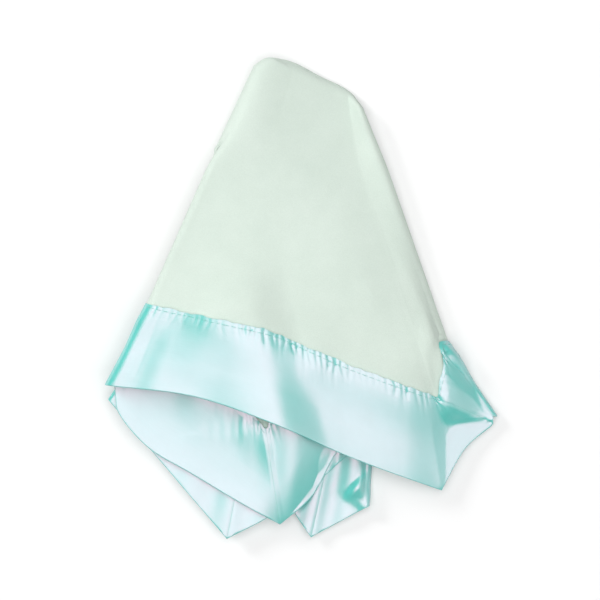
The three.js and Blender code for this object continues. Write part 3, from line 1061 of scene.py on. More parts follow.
@dataclass
class ClothMesh:
    """Gathers places and faces of one piece and turns them into a Blender object."""

    name: str
    shift: Point
    weld: float = 1e-6
    places: list[Array] = field(default_factory=list)
    cloth: list[Array] = field(default_factory=list)
    quads: list[Array] = field(default_factory=list)
    polygons: list[list[int]] = field(default_factory=list)
    count: int = 0

    def add_places(self, places: Array, cloth: Array | None = None) -> Array:
        """Adds places and numbers them in the same layout.

        Args:
            places: Places with three coordinates last.
            cloth: Where each lies on the flat cloth, for the weave, if it matters.

        Returns:
            The number of every place.
        """
        flat = places.reshape(-1, 3)
        self.places.append(flat)
        self.cloth.append(np.zeros_like(flat) if cloth is None else cloth.reshape(-1, 3))
        numbers = np.arange(self.count, self.count + len(flat)).reshape(places.shape[:-1])
        self.count += len(flat)
        return numbers

    def add_sheet(self, numbers: Array, flipped: bool = False) -> None:
        """Adds the quads of a grid of numbers.

        Args:
            numbers: Rows by columns. The quads face up where the columns run left to right.
            flipped: Turns them round.
        """
        corners = [numbers[:-1, :-1], numbers[:-1, 1:], numbers[1:, 1:], numbers[1:, :-1]]
        self.quads.append(np.stack([corner.ravel() for corner in corners[:: -1 if flipped else 1]], axis=1))

    def add_thread(self, rings: Array) -> None:
        """Adds a closed length of thread.

        Args:
            rings: Its rings of places, as thread_rings gives them.
        """
        numbers = self.add_places(rings)
        self.add_sheet(np.hstack([numbers, numbers[:, :1]]), flipped=True)
        self.polygons += [list(numbers[0]), list(numbers[-1][::-1])]

    def build(self, sharp_degrees: float = 60) -> bpy.types.Object:
        """Welds places that coincide, drops faces that shrink to nothing, and makes the object.

        Nothing of the object reaches under the surface that the blanket lies on.

        Args:
            sharp_degrees: The least angle between two faces that shows as an edge.

        Returns:
            The object, linked to the scene.
        """
        places = np.concatenate(self.places)
        keys = np.rint(places / self.weld).astype(np.int64)
        _, first, shared = np.unique(keys, axis=0, return_index=True, return_inverse=True)
        places, cloth = places[first], np.concatenate(self.cloth)[first]
        places[:, :2] += self.shift
        places[:, 2] = np.maximum(places[:, 2], 0)
        corners, total = self.welded_faces(shared.reshape(-1))
        mesh = bpy.data.meshes.new(self.name)
        mesh.vertices.add(len(places))
        mesh.vertices.foreach_set("co", places.astype(np.float32).ravel())
        mesh.loops.add(len(corners))
        mesh.loops.foreach_set("vertex_index", corners.astype(np.int32))
        mesh.polygons.add(len(total))
        mesh.polygons.foreach_set("loop_start", (np.cumsum(total) - total).astype(np.int32))
        mesh.polygons.foreach_set("loop_total", total.astype(np.int32))
        mesh.polygons.foreach_set("use_smooth", np.ones(len(total), dtype=bool))
        attribute = mesh.attributes.new("cloth", "FLOAT_VECTOR", "POINT")
        attribute.data.foreach_set("vector", cloth.astype(np.float32).ravel())
        mesh.update(calc_edges=True)
        mesh.validate()
        mesh.set_sharp_from_angle(angle=math.radians(sharp_degrees))
        piece = bpy.data.objects.new(self.name, mesh)
        bpy.context.scene.collection.objects.link(piece)
        return piece

    def welded_faces(self, shared: Array) -> tuple[Array, Array]:
        """Lists every face after the weld, and leaves out those that shrink to a line.

        Args:
            shared: The welded number of every place.

        Returns:
            The corners of all faces, one after another, and how many corners each face has.
        """
        quads = shared[np.concatenate(self.quads)]
        distinct = quads != np.roll(quads, -1, axis=1)
        full = distinct.all(axis=1)
        thin = (distinct.sum(axis=1) == 3) & (quads[:, 0] != quads[:, 2]) & (quads[:, 1] != quads[:, 3])
        corners = [quads[full].ravel(), quads[thin][distinct[thin]]]
        totals = [np.full(int(full.sum()), 4), np.full(int(thin.sum()), 3)]
        for polygon in self.polygons:
            kept = shared[np.array(polygon)]
            kept = kept[kept != np.roll(kept, -1)]
            if len(kept) > 2:
                corners.append(kept)
                totals.append(np.array([len(kept)]))
        return np.concatenate(corners), np.concatenate(totals)


def thread_rings(line: Array, up: Array, radius: float | Array, sides: int) -> Array:
    """Draws rings of places round the middle line of one thread or of several.

    Args:
        line: The places of the middle line. The last axis but one runs along the thread.
        up: The way out of the cloth at each of them.
        radius: How thick the thread is, everywhere or at each place.
        sides: How many places a ring has.

    Returns:
        The places, with one axis more for the places of a ring.
    """
    run = unit(np.gradient(line, axis=-2))
    side = unit(np.cross(run, up))
    out = np.cross(side, run)
    angles = np.arange(sides) * 2 * math.pi / sides
    return np.stack([line + (side * math.cos(a) + out * math.sin(a)) * radius for a in angles], axis=-2)


class NodeBoard:
    """Adds and links the nodes of one material."""

    def __init__(self, name: str) -> None:
        """Starts an empty material with a Principled shader on its output.

        Args:
            name: The material's name.
        """
        self.material = bpy.data.materials.new(name)
        self.material.use_nodes = True
        self.tree = self.material.node_tree
        self.shader = self.tree.nodes["Principled BSDF"]

    def add(self, kind: str, **values: object) -> bpy.types.Node:
        """Adds a node and sets its properties, or its inputs where the name isn't a property.

        Args:
            kind: The node's type.
            values: What to set, by names with underscores for spaces.

        Returns:
            The node.
        """
        node = self.tree.nodes.new(kind)
        for name, value in values.items():
            if hasattr(node, name):
                setattr(node, name, value)
            else:
                node.inputs[name.replace("_", " ").title()].default_value = value
        return node

    def link(self, source: bpy.types.NodeSocket, target: bpy.types.NodeSocket) -> None:
        """Links two sockets."""
        self.tree.links.new(source, target)

    def shader_values(self, **values: object) -> None:
        """Sets the shader's own sockets by their names."""
        for name, value in values.items():
            self.shader.inputs[name.replace("_", " ")].default_value = value

    def noise(self, vector: bpy.types.NodeSocket, **values: float) -> bpy.types.NodeSocket:
        """Adds a noise texture.

        Args:
            vector: Where on the cloth the noise is read.
            values: The texture's scale, detail and roughness.

        Returns:
            The socket of its value.
        """
        node = self.add("ShaderNodeTexNoise", **values)
        self.link(vector, node.inputs["Vector"])
        return node.outputs["Fac"]

    def emboss(self, height: bpy.types.NodeSocket, strength: float, depth: float) -> None:
        """Presses a value into the surface.

        Args:
            height: The value.
            strength: How much of the relief shows, from 0 to 1.
            depth: The relief's depth.
        """
        node = self.add("ShaderNodeBump", strength=strength, distance=depth)
        self.link(height, node.inputs["Height"])
        self.link(node.outputs["Normal"], self.shader.inputs["Normal"])

    def ramp(
        self, source: bpy.types.NodeSocket, ends: Point, low: Colour, high: Colour
    ) -> bpy.types.NodeSocket:
        """Blends between two colours by a value.

        Args:
            source: The value that chooses.
            ends: The values at which the ramp starts and ends.
            low: The colour where it starts.
            high: The colour where it ends.

        Returns:
            The socket of the colour.
        """
        node = self.tree.nodes.new("ShaderNodeValToRGB")
        for element, position, colour in zip(node.color_ramp.elements, ends, (low, high)):
            element.position = position
            element.color = (*colour, 1)
        self.link(source, node.inputs["Fac"])
        return node.outputs["Color"]

    def multiplied(self, first: bpy.types.NodeSocket, second: bpy.types.NodeSocket) -> bpy.types.NodeSocket:
        """Multiplies two colours.

        Args:
            first: The one colour.
            second: The other colour.

        Returns:
            The socket of their product.
        """
        node = self.add("ShaderNodeMix", data_type="RGBA", blend_type="MULTIPLY")
        node.inputs[MIX_FACTOR].default_value = 1.0
        self.link(first, node.inputs[MIX_FIRST])
        self.link(second, node.inputs[MIX_SECOND])
        return node.outputs[MIX_COLOUR]


@dataclass(frozen=True)
class PlushFinish:
    """Short dense pale mint pile."""

    pale: Colour = (0.672, 0.768, 0.694)
    deep: Colour = (0.628, 0.727, 0.652)
    mottle_ends: Point = (0.35, 0.65)
    mottle_scale: float = 28
    pile_shade: Colour = (0.94, 0.94, 0.94)
    pile_ends: Point = (0.3, 0.7)
    pile_scale: float = 1500
    pile_strength: float = 0.5
    pile_depth: float = 0.00018
    sheen_tint: Colour = (0.93, 1.0, 0.95)

    def material(self) -> bpy.types.Material:
        """Builds the plush material.

        Returns:
            The material.
        """
        board = NodeBoard("mint_plush")
        place = board.add("ShaderNodeTexCoord").outputs["Object"]
        mottle = board.noise(place, scale=self.mottle_scale, detail=6.0, roughness=0.65)
        pile = board.noise(place, scale=self.pile_scale, detail=3.0, roughness=0.6)
        colour = board.ramp(mottle, self.mottle_ends, self.deep, self.pale)
        grain = board.ramp(pile, self.pile_ends, self.pile_shade, WHITE)
        board.link(board.multiplied(colour, grain), board.shader.inputs["Base Color"])
        board.emboss(pile, self.pile_strength, self.pile_depth)
        board.shader_values(
            Roughness=0.95,
            Specular_IOR_Level=0.2,
            Sheen_Weight=0.25,
            Sheen_Roughness=0.5,
            Sheen_Tint=(*self.sheen_tint, 1),
        )
        return board.material


@dataclass(frozen=True)
class SatinFinish:
    """Aqua woven satin with a pale soft gloss."""

    pale: Colour = (0.095, 0.800, 0.700)
    deep: Colour = (0.070, 0.765, 0.660)
    gloss_tint: Colour = (1.0, 0.45, 0.63)
    thread_scale: float = 900
    thread_stretch: Place = (0.06, 1, 1)
    slub_ends: Point = (0.35, 0.65)
    slub_scale: float = 60
    roughness: Point = (0.34, 0.44)
    weave_strength: float = 0.35
    weave_depth: float = 0.00006

    def material(self) -> bpy.types.Material:
        """Builds the satin material, whose threads run along the binding.

        Returns:
            The material.
        """
        board = NodeBoard("aqua_satin")
        cloth = board.add("ShaderNodeAttribute", attribute_name="cloth").outputs["Vector"]
        stretch = board.add("ShaderNodeMapping", vector_type="POINT")
        stretch.inputs["Scale"].default_value = self.thread_stretch
        board.link(cloth, stretch.inputs["Vector"])
        thread = board.noise(stretch.outputs["Vector"], scale=self.thread_scale, detail=2.0, roughness=0.6)
        slub = board.noise(cloth, scale=self.slub_scale, detail=4.0, roughness=0.6)
        colour = board.ramp(slub, self.slub_ends, self.deep, self.pale)
        board.link(colour, board.shader.inputs["Base Color"])
        rough = board.add("ShaderNodeMapRange")
        rough.inputs["To Min"].default_value, rough.inputs["To Max"].default_value = self.roughness
        board.link(thread, rough.inputs["Value"])
        board.link(rough.outputs["Result"], board.shader.inputs["Roughness"])
        board.emboss(thread, self.weave_strength, self.weave_depth)
        board.shader_values(
            IOR=2.4,
            Specular_IOR_Level=1.0,
            Sheen_Weight=0.05,
            Sheen_Roughness=0.4,
            Specular_Tint=(*self.gloss_tint, 1),
        )
        return board.material


@dataclass(frozen=True)
class ThreadFinish:
    """Spun aqua sewing thread, a little deeper than the satin."""

    colour: Colour = (0.30, 0.68, 0.62)
    shaded_share: float = 0.8
    twist_ends: Point = (0.35, 0.65)
    twist_scale: float = 2500

    def material(self) -> bpy.types.Material:
        """Builds the thread material.

        Returns:
            The material.
        """
        board = NodeBoard("aqua_thread")
        place = board.add("ShaderNodeTexCoord").outputs["Object"]
        twist = board.noise(place, scale=self.twist_scale, detail=1.0)
        shaded = tuple(value * self.shaded_share for value in self.colour)
        colour = board.ramp(twist, self.twist_ends, shaded, self.colour)
        board.link(colour, board.shader.inputs["Base Color"])
        board.shader_values(Roughness=0.6, Specular_IOR_Level=0.4)
        return board.material


def dress(piece: bpy.types.Object, material: bpy.types.Material) -> None:
    """Gives a piece its material and its body.

    Args:
        piece: The piece.
        material: Its material.
    """
    piece.data.materials.append(material)
    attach(piece, "root")


@dataclass
class PlushPanel:
    """One of the two plush panels, closed all round."""

    cloth: FoldedCloth
    side: Wing
    column_step: int = 3
    fold_columns: int = 6
    hidden_step: int = 3

    @property
    def node(self) -> str:
        """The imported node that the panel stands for."""
        return "plush_face" if self.side is Wing.FACE else "plush_back"

    def column_numbers(self) -> Array:
        """Picks every few columns of each ply, all columns near and in the turns, and the corners.

        Returns:
            The columns' numbers, the same on the top ply as on the bottom ply, which meet at the ridge.
        """
        columns = self.cloth.columns
        kept = set(np.flatnonzero(columns.ply == TURN)) | set(columns.corners.values())
        for ply in range(len(PLY_STOPS)):
            members = columns.members(ply)
            kept |= set(members[:: self.column_step]) | {members[-1]}
            kept |= set(members[: self.fold_columns]) | set(members[-self.fold_columns :])
        mirrored = len(columns.members(TOP_PLY)) - 1
        top, bottom = columns.members(TOP_PLY), columns.members(BOTTOM_PLY)
        shared = {mirrored - (number - bottom[0]) for number in kept if bottom[0] <= number <= bottom[-1]}
        shared |= {number - top[0] for number in kept if top[0] <= number <= top[-1]}
        kept |= {top[0] + number for number in shared} | {bottom[-1] - number for number in shared}
        return np.array(sorted(kept))

    def build(self, material: bpy.types.Material) -> bpy.types.Object:
        """Makes and dresses the panel.

        Args:
            material: The plush.

        Returns:
            The finished piece.
        """
        sizes, rows = self.cloth.sizes, self.cloth.rows
        tucked = rows.count(Zone.CROWN, Zone.BODY, Zone.LAP) - 1
        numbers = self.column_numbers()
        places = self.cloth.places[:tucked, numbers]
        normals = self.cloth.normals[:tucked, numbers]
        near, far = sizes.panel_gap / 2, sizes.plush_half
        if self.side is Wing.BACK:
            near, far = -far, -near
        neck = rows.first(Zone.BODY)
        hidden = [every(self.hidden_step, tucked), np.arange(rows.flat), [neck - 1, neck]]
        hidden = np.unique(np.concatenate(hidden))
        mesh = ClothMesh(self.node, self.cloth.plan.shift)
        layers = {}
        on_face = self.side is Wing.FACE
        for name, by, shown in (("outer", far, on_face), ("inner", near, not on_face)):
            chosen = np.arange(tucked) if shown else hidden
            layers[name] = mesh.add_places(places[chosen] + normals[chosen] * by)
        closed = {name: np.hstack([layer, layer[:, :1]]) for name, layer in layers.items()}
        mesh.add_sheet(closed["outer"])
        mesh.add_sheet(closed["inner"], flipped=True)
        mesh.add_sheet(np.stack([closed["outer"][-1], closed["inner"][-1]]))
        piece = mesh.build()
        dress(piece, material)
        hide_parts(self.node)
        return piece


@dataclass
class SatinBinding:
    """One satin strip, folded over the hem and stitched down along its inner edges.

    The satin puffs up beside its seam, and the stitches press puckers into the puff. The puckers are
    shallow on the inner plies and, on the top ply, between each pair of quiet_px, in pixels across the
    photograph.
    """

    cloth: FoldedCloth
    corner: Corner
    fold_steps: int = 5
    hidden_step: int = 3
    pucker_spacing: float = 0.0040
    pucker_jitter: float = 0.25
    pucker_depth: float = 0.0007
    pucker_depth_shares: Point = (0.55, 1.0)
    pucker_width: float = 0.0007
    pucker_fan: float = 0.10
    pucker_slant: float = 0.35
    pucker_length: float = 0.008
    pucker_length_shares: Point = (0.4, 1.5)
    puff_reach: float = 0.016
    puff_blend: int = 9
    quiet_puff: float = 0.00012
    quiet_px: tuple[Point, ...] = ((150, 248), (338, 392))
    quiet_blend_px: float = 16
    quiet_share: float = 0.25
    inner_calm: float = 0.8
    wave_lengths: tuple[float, float] = (0.0035, 0.011)
    wave_height: float = 0.0005
    seam_sink: float = 0.0003
    mitre_puff: float = 0.00025
    mitre_width: float = 0.0011
    mitre_reach: float = 0.014
    same_inset: float = 1e-6
    sharp_degrees: float = 50
    seed: int = 11
    fine_seed: int = 51
    coarse_seed: int = 61

    def __post_init__(self) -> None:
        """Finds the binding's columns and draws its puckers."""
        columns = self.cloth.columns
        order = sorted(columns.corners.values())
        start = columns.corners[self.corner]
        end = next((number for number in order if number > start), order[0] + len(columns))
        self.numbers = np.arange(start, end + 1) % len(columns)
        first_row = self.cloth.rows.first(Zone.LAP)
        self.places = self.cloth.places[first_row:, self.numbers].copy()
        self.normals = self.cloth.normals[first_row:, self.numbers]
        self.inset = self.cloth.rows.at[first_row:]
        self.half = self.cloth.rows.half()[first_row:]
        gap = self.cloth.sizes.mitre_gap / 2
        for end_column, neighbour in ((0, 1), (-1, -2)):
            self.places[:, end_column] += unit(self.places[:, neighbour] - self.places[:, end_column]) * gap
        self.stitch_row = self.cloth.rows.stitch - first_row
        self.along = run_lengths(self.places[self.stitch_row])
        self.rng = np.random.default_rng(self.seed + list(Corner).index(self.corner))
        self.puckers = {wing: self.pucker_places() for wing in Wing}

    @property
    def name(self) -> str:
        """The piece's name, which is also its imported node's."""
        return f"satin_binding_{self.corner.value}"

    def pucker_places(self) -> Array:
        """Draws the places where the stitches pull the satin down.

        Returns:
            How far each one is along the stitch row.
        """
        count = max(2, round(self.along[-1] / self.pucker_spacing))
        even = np.linspace(0, self.along[-1], count + 1)
        jitter = self.rng.uniform(-1, 1, count + 1) * self.pucker_jitter * self.pucker_spacing
        jitter[[0, -1]] = 0
        return even + jitter

    def puff(self, wing: Wing) -> Array:
        """How far the satin stands off the cloth beside its stitches.

        Args:
            wing: The wing that is asked for.

        Returns:
            The distance at every row and column.
        """
        ply = self.cloth.columns.ply[self.numbers]
        upward = np.where(ply % 2 == 0, 1, -1) == wing.value
        shown = np.where((ply != TURN) & upward & (ply != BOTTOM_PLY), 1.0, 0.0)
        window = np.ones(self.puff_blend) / self.puff_blend
        shown = np.convolve(np.pad(shown, self.puff_blend // 2, mode="edge"), window, mode="valid")
        height = self.quiet_puff + (self.pucker_depth - self.quiet_puff) * shown
        from_seam = np.abs(self.inset[0] - self.cloth.sizes.stitch_inset - self.inset)[:, None]
        fade = 1 - smooth_step(from_seam / self.puff_reach)
        dips = self.dips(wing, from_seam) * (1 - (1 - self.quiet_share) * self.calm(ply))
        return height[None, :] * fade * (1 - dips) + self.beside_mitre() * shown

    def calm(self, ply: Array) -> Array:
        """Finds where the seam is sewn with little pucker.

        Args:
            ply: The ply of every column.

        Returns:
            A share for every column, 0 where the puckers are at their deepest.
        """
        plan = self.cloth.plan
        right_px = self.places[self.stitch_row, :, 0] / plan.pixel(self.cloth.sizes) + plan.centre_px
        calm = np.where(ply == TOP_PLY, 0.0, self.inner_calm)
        for start, end in self.quiet_px:
            from_start = smooth_step((right_px - start) / self.quiet_blend_px)
            inside = from_start * smooth_step((end - right_px) / self.quiet_blend_px)
            calm = np.maximum(calm, inside * (ply == TOP_PLY))
        return calm

    def dips(self, wing: Wing, from_seam: Array) -> Array:
        """Draws the dents that run from the stitches into the satin.

        Args:
            wing: The wing that is asked for.
            from_seam: How far every row is from the stitches.

        Returns:
            The share of the puff that is pressed down, at every row and column.
        """
        dips = np.zeros((len(self.inset), len(self.numbers)))
        width = self.pucker_width + self.pucker_fan * from_seam
        for place in self.puckers[wing]:
            depth = self.rng.uniform(*self.pucker_depth_shares)
            length = self.pucker_length * self.rng.uniform(*self.pucker_length_shares)
            slant = self.rng.uniform(-self.pucker_slant, self.pucker_slant)
            aside = (self.along[None, :] - place - slant * from_seam) / width
            dips = np.maximum(dips, depth * np.exp(-(aside**2)) * np.exp(-((from_seam / length) ** 2)))
        return dips

    def beside_mitre(self) -> Array:
        """Raises the satin on its own side of each mitre seam.

        Returns:
            The height at every row and column.
        """
        rise = np.zeros(self.places.shape[:2])
        for end in (0, -1):
            away = np.linalg.norm(self.places[..., :2] - self.places[:, end, None, :2], axis=2)
            near = 1 - smooth_step(away / self.mitre_reach)
            rise = np.maximum(rise, near * (1 - np.exp(-((away / self.mitre_width) ** 2))))
        return self.mitre_puff * rise

    def edge_wave(self) -> Array:
        """Draws the small steps of the satin's inner edge along the seam.

        Returns:
            How far the edge moves towards the plush at every column.
        """
        where = np.stack([self.along, np.zeros_like(self.along)], axis=1)
        seeds = (self.fine_seed, self.coarse_seed)
        waves = [soft_noise(where, length, seed) for length, seed in zip(self.wave_lengths, seeds)]
        return self.wave_height * (waves[0] + waves[1])

    def waved_places(self) -> Array:
        """Moves the satin's inner edge to and fro, and the rows down to the stitches by less.

        Returns:
            The places of every row and column.
        """
        sizes = self.cloth.sizes
        inward = unit(self.places[0] - self.places[1])
        places = self.places.copy()
        lap = self.inset > sizes.border - sizes.stitch_inset - self.same_inset
        fading = np.linspace(1, 0, int(lap.sum()))[:, None, None]
        places[lap] += (inward * self.edge_wave()[:, None])[None] * fading
        return places

    def fold(self, places: Array) -> Array:
        """Rounds the satin's fold over the hem.

        Args:
            places: The binding's places, with the hem in the last row.

        Returns:
            Rows of places from the face round to the back.
        """
        half = self.cloth.sizes.band_half
        out, up = unit(places[-1] - places[-2]), self.normals[-1]
        angles = np.linspace(math.pi / 2, -math.pi / 2, self.fold_steps + 2)[1:-1]
        return np.stack([places[-1] + (out * math.cos(a) + up * math.sin(a)) * half for a in angles])

    def build(self, material: bpy.types.Material) -> bpy.types.Object:
        """Makes and dresses the binding.

        Args:
            material: The satin.

        Returns:
            The finished piece.
        """
        sizes = self.cloth.sizes
        mesh = ClothMesh(self.name, self.cloth.plan.shift)
        places = self.waved_places()
        outer, inner, cloth_outer = [], [], []
        self.surface: dict[Wing, Array] = {}
        flat = np.zeros(places.shape)
        flat[..., 0], flat[..., 1] = self.along, self.inset[:, None]
        for wing in Wing:
            lift = self.puff(wing)
            sink = np.where(self.inset[:, None] > sizes.lap_end, self.seam_sink, 0.0)
            sink = sink * (1 - smooth_step(lift / self.seam_sink))
            out = wing.value * (self.half[:, None] + lift - sink)
            into = out - wing.value * sizes.satin
            self.surface[wing] = places + self.normals * out[..., None]
            outer.append(self.surface[wing])
            inner.append(places + self.normals * into[..., None])
            cloth_outer.append(flat * np.array([1, wing.value, 1]))
        fold = self.fold(places)
        lap_rows = self.cloth.rows.count(Zone.LAP) + self.cloth.rows.slope_steps
        sparse = np.union1d(every(self.hidden_step, len(self.inset)), np.arange(lap_rows))
        top = mesh.add_places(outer[0], cloth_outer[0])
        turn = mesh.add_places(fold, np.broadcast_to(flat[-1], fold.shape))
        bottom = mesh.add_places(outer[1], cloth_outer[1])
        under_top = mesh.add_places(inner[0][sparse], cloth_outer[0][sparse])
        under_bottom = mesh.add_places(inner[1][sparse], cloth_outer[1][sparse])
        mesh.add_sheet(np.concatenate([top, turn, bottom[::-1], under_bottom, under_top[::-1], top[:1]]))
        for end, way in ((0, 1), (-1, -1)):
            edges = (layer[:, end] for layer in (top, turn, bottom, under_top, under_bottom))
            mesh.polygons += [polygon[::way] for polygon in self.cap(*edges, sparse)]
        piece = mesh.build(self.sharp_degrees)
        dress(piece, material)
        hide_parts(self.name)
        return piece

    @staticmethod
    def cap(
        top: Array, turn: Array, bottom: Array, under_top: Array, under_bottom: Array, sparse: Array
    ) -> list[list[int]]:
        """Closes one end of the binding between its outer and inner layers.

        Args:
            top: The outer layer's corners on the face, from the seam to the hem.
            turn: The corners round the hem.
            bottom: The outer layer's corners on the back.
            under_top: The inner layer's corners on the face.
            under_bottom: The inner layer's corners on the back.
            sparse: The row of each of the inner layer's corners.

        Returns:
            The polygons of the end.
        """
        polygons = []
        for i, (first, last) in enumerate(zip(sparse, sparse[1:])):
            polygons.append([under_top[i], under_top[i + 1], *top[first : last + 1][::-1]])
            polygons.append([under_bottom[i + 1], under_bottom[i], *bottom[first : last + 1]])
        polygons.append([under_top[-1], under_bottom[-1], bottom[-1], *turn[::-1], top[-1]])
        return polygons


@dataclass
class StitchRow:
    """The topstitch that holds one binding down, on both of its wings."""

    binding: SatinBinding
    radius: float = 0.00017
    sides: int = 6
    rings: int = 6
    hole_gap: float = 0.0005
    taut_share: float = 0.6
    arch_end: float = 0.12
    arch_height: float = 1.7
    arch_sink: float = 0.9
    swell_end: float = 0.06
    least_swell: float = 0.05
    sharp_degrees: float = 80

    def centre_line(self, wing: Wing) -> tuple[Array, Array]:
        """Lays every stitch of one wing from hole to hole, taut over the puckers.

        Args:
            wing: The wing that is asked for.

        Returns:
            The places of the thread's middle, stitches by rings, and the way out of the cloth at each.
        """
        binding = self.binding
        holes = binding.puckers[wing]
        start, end = holes[:-1, None] + self.hole_gap, holes[1:, None] - self.hole_gap
        share = np.linspace(0, 1, self.rings)
        at = start + (end - start) * share
        surface = binding.surface[wing][binding.stitch_row]
        normals = binding.normals[binding.stitch_row] * wing.value
        centre, up = (
            np.stack([np.interp(at, binding.along, line[:, k]) for k in range(3)], axis=-1)
            for line in (surface, normals)
        )
        chord = centre[:, :1] + (centre[:, -1:] - centre[:, :1]) * share[None, :, None]
        taut = np.maximum(((chord - centre) * up).sum(axis=-1, keepdims=True), 0) * self.taut_share
        arch = self.half_wave(share, self.arch_end)
        return centre + up * (taut + self.radius * (self.arch_height * arch - self.arch_sink)), up

    @staticmethod
    def half_wave(share: Array, end: float) -> Array:
        """Half a wave along a stitch, cut off by a share of its length at both ends."""
        return np.sin(math.pi * (end + (1 - 2 * end) * share))[None, :, None]

    def build(self, material: bpy.types.Material) -> bpy.types.Object:
        """Makes and dresses all stitches of the row as one piece.

        Args:
            material: The thread.

        Returns:
            The finished piece.
        """
        swell = np.maximum(self.least_swell, self.half_wave(np.linspace(0, 1, self.rings), self.swell_end))
        mesh = ClothMesh(f"topstitch_{self.binding.corner.value}", self.binding.cloth.plan.shift)
        for wing in Wing:
            centre, up = self.centre_line(wing)
            for rings in thread_rings(centre, up, self.radius * np.sqrt(swell), self.sides):
                mesh.add_thread(rings)
        piece = mesh.build(self.sharp_degrees)
        dress(piece, material)
        return piece


@dataclass
class MitreSeam:
    """The closed seam where two bindings meet at a corner of the blanket."""

    cloth: FoldedCloth
    corner: Corner
    radius: float = 0.00022
    sides: int = 6
    sink: float = 0.00018
    sharp_degrees: float = 80

    def build(self, material: bpy.types.Material) -> bpy.types.Object:
        """Makes and dresses the seam, a cord down the face, round the hem and up the back.

        Args:
            material: The thread.

        Returns:
            The finished piece.
        """
        rows, sizes = self.cloth.rows, self.cloth.sizes
        first = rows.first(Zone.LAP)
        number = self.cloth.columns.corners[self.corner]
        places = self.cloth.places[first:, number]
        normals = self.cloth.normals[first:, number]
        half = (rows.half()[first:] - self.sink)[:, None]
        run = unit(places[-1] - places[-2])
        tip = places[-1] + run * (sizes.band_half - self.sink)
        line = np.concatenate([places + normals * half, tip[None], (places - normals * half)[::-1]])
        up = np.concatenate([normals, [run], -normals[::-1]])
        mesh = ClothMesh(f"mitre_seam_{self.corner.value}", self.cloth.plan.shift)
        mesh.add_thread(thread_rings(line, up, self.radius, self.sides))
        piece = mesh.build(self.sharp_degrees)
        dress(piece, material)
        return piece


@dataclass
class ComfortBlanket:
    """The whole blanket: two panels, four bindings, their stitches and the mitre seams."""

    sizes: BlanketSizes = field(default_factory=BlanketSizes)
    plan: PhotoPlan = field(default_factory=PhotoPlan)

    def build(self) -> list[bpy.types.Object]:
        """Makes every piece.

        Returns:
            The pieces, in the order in which they are sewn.
        """
        cloth = FoldedCloth(self.sizes, self.plan)
        plush, satin, thread = PlushFinish().material(), SatinFinish().material(), ThreadFinish().material()
        pieces = [PlushPanel(cloth, side).build(plush) for side in Wing]
        for corner in Corner:
            binding = SatinBinding(cloth, corner)
            strip = binding.build(satin)
            stitches = StitchRow(binding).build(thread)
            seam = MitreSeam(cloth, corner).build(thread)
            pieces += [strip, stitches, seam]
        return pieces


@dataclass(frozen=True)
class Softbox:
    """A square soft lamp that points at the origin. Its power is in watts."""

    name: str
    place: Place
    side: float
    power: float
    reflected: bool = True

    def hang(self) -> None:
        """Makes the lamp and turns it to the origin."""
        data = bpy.data.lights.new(self.name, "AREA")
        data.shape, data.size, data.energy = "SQUARE", self.side, self.power
        lamp = bpy.data.objects.new(self.name, data)
        right, up, height = self.place
        lamp.location = self.place
        lamp.rotation_euler = (math.atan2(math.hypot(right, up), height), 0.0, math.atan2(right, -up))
        lamp.visible_glossy = self.reflected
        bpy.context.scene.collection.objects.link(lamp)


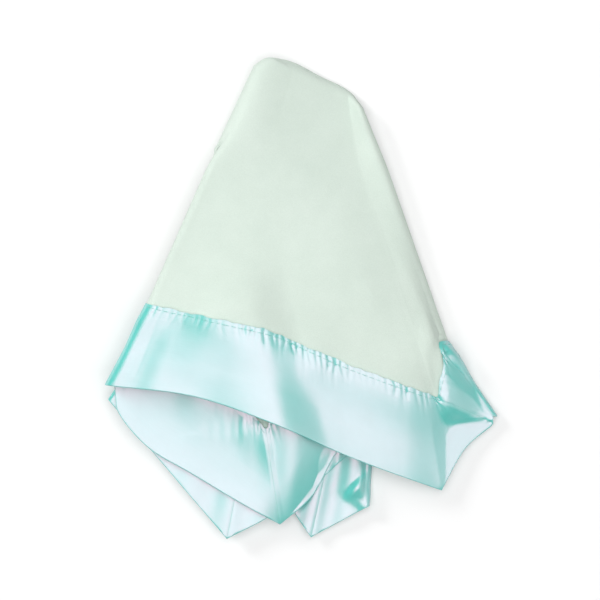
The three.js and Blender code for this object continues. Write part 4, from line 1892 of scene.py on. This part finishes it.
@dataclass
class Studio:
    """The white floor, the soft lights and the camera straight above."""

    sizes: BlanketSizes
    plan: PhotoPlan
    floor_side: float = 12.0
    floor_colour: Colour = (0.74, 0.74, 0.74)
    floor_glow: float = 0.20
    camera_height: float = 3.0
    sensor: float = 36.0
    sky: float = 0.12
    lamps: tuple[Softbox, ...] = (
        Softbox("overhead_softbox", (0.03, -0.08, 2.0), 2.3, 42.5),
        Softbox("key_softbox", (-1.5, 1.05, 0.85), 0.6, 21.0, reflected=False),
        Softbox("right_fill", (1.8, -0.3, 1.15), 1.4, 6.0),
    )

    def build(self) -> None:
        """Makes the floor, the world, the lights and the camera."""
        self.floor()
        self.world()
        for lamp in self.lamps:
            lamp.hang()
        self.camera()

    def floor(self) -> None:
        """Lays the pale floor. The camera sees it nearly white, and it keeps the shadow."""
        half = self.floor_side / 2
        mesh = bpy.data.meshes.new("floor")
        corners = [(-half, -half, 0), (half, -half, 0), (half, half, 0), (-half, half, 0)]
        mesh.from_pydata(corners, [], [(0, 1, 2, 3)])
        floor = bpy.data.objects.new("floor", mesh)
        bpy.context.scene.collection.objects.link(floor)
        board = NodeBoard("pale_floor")
        board.shader_values(
            Base_Color=(*self.floor_colour, 1),
            Roughness=0.9,
            Specular_IOR_Level=0.1,
            Emission_Color=(*WHITE, 1),
        )
        rays = board.add("ShaderNodeLightPath").outputs
        seen = rays["Is Camera Ray"]
        for kind in ("Is Glossy Ray", "Is Transmission Ray"):
            either = board.add("ShaderNodeMath", operation="MAXIMUM")
            board.link(seen, either.inputs[0])
            board.link(rays[kind], either.inputs[1])
            seen = either.outputs[0]
        glow = board.add("ShaderNodeMath", operation="MULTIPLY")
        glow.inputs[1].default_value = self.floor_glow
        board.link(seen, glow.inputs[0])
        board.link(glow.outputs[0], board.shader.inputs["Emission Strength"])
        mesh.materials.append(board.material)

    def world(self) -> None:
        """Fills the room with even pale light."""
        world = bpy.data.worlds.new("room")
        world.use_nodes = True
        background = world.node_tree.nodes["Background"]
        background.inputs["Color"].default_value = (*WHITE, 1)
        background.inputs["Strength"].default_value = self.sky
        bpy.context.scene.world = world

    def camera(self) -> None:
        """Hangs the camera over the photograph's centre, looking straight down."""
        data = bpy.data.cameras.new("photo_camera")
        width = self.plan.image_px * self.plan.pixel(self.sizes)
        data.sensor_width = self.sensor
        data.lens = self.sensor * self.camera_height / width
        camera = bpy.data.objects.new("photo_camera", data)
        camera.location = (*self.plan.shift, self.camera_height)
        bpy.context.scene.collection.objects.link(camera)
        bpy.context.scene.camera = camera


def main() -> None:
    logging.basicConfig(level=logging.INFO, format="%(name)s: %(message)s")
    bpy.context.scene.view_settings.view_transform = "Standard"
    blanket = ComfortBlanket()
    for piece in blanket.build():
        log.info("%s: %d faces", piece.name, len(piece.data.polygons))
    Studio(blanket.sizes, blanket.plan).build()


if __name__ == "__main__":
    main()
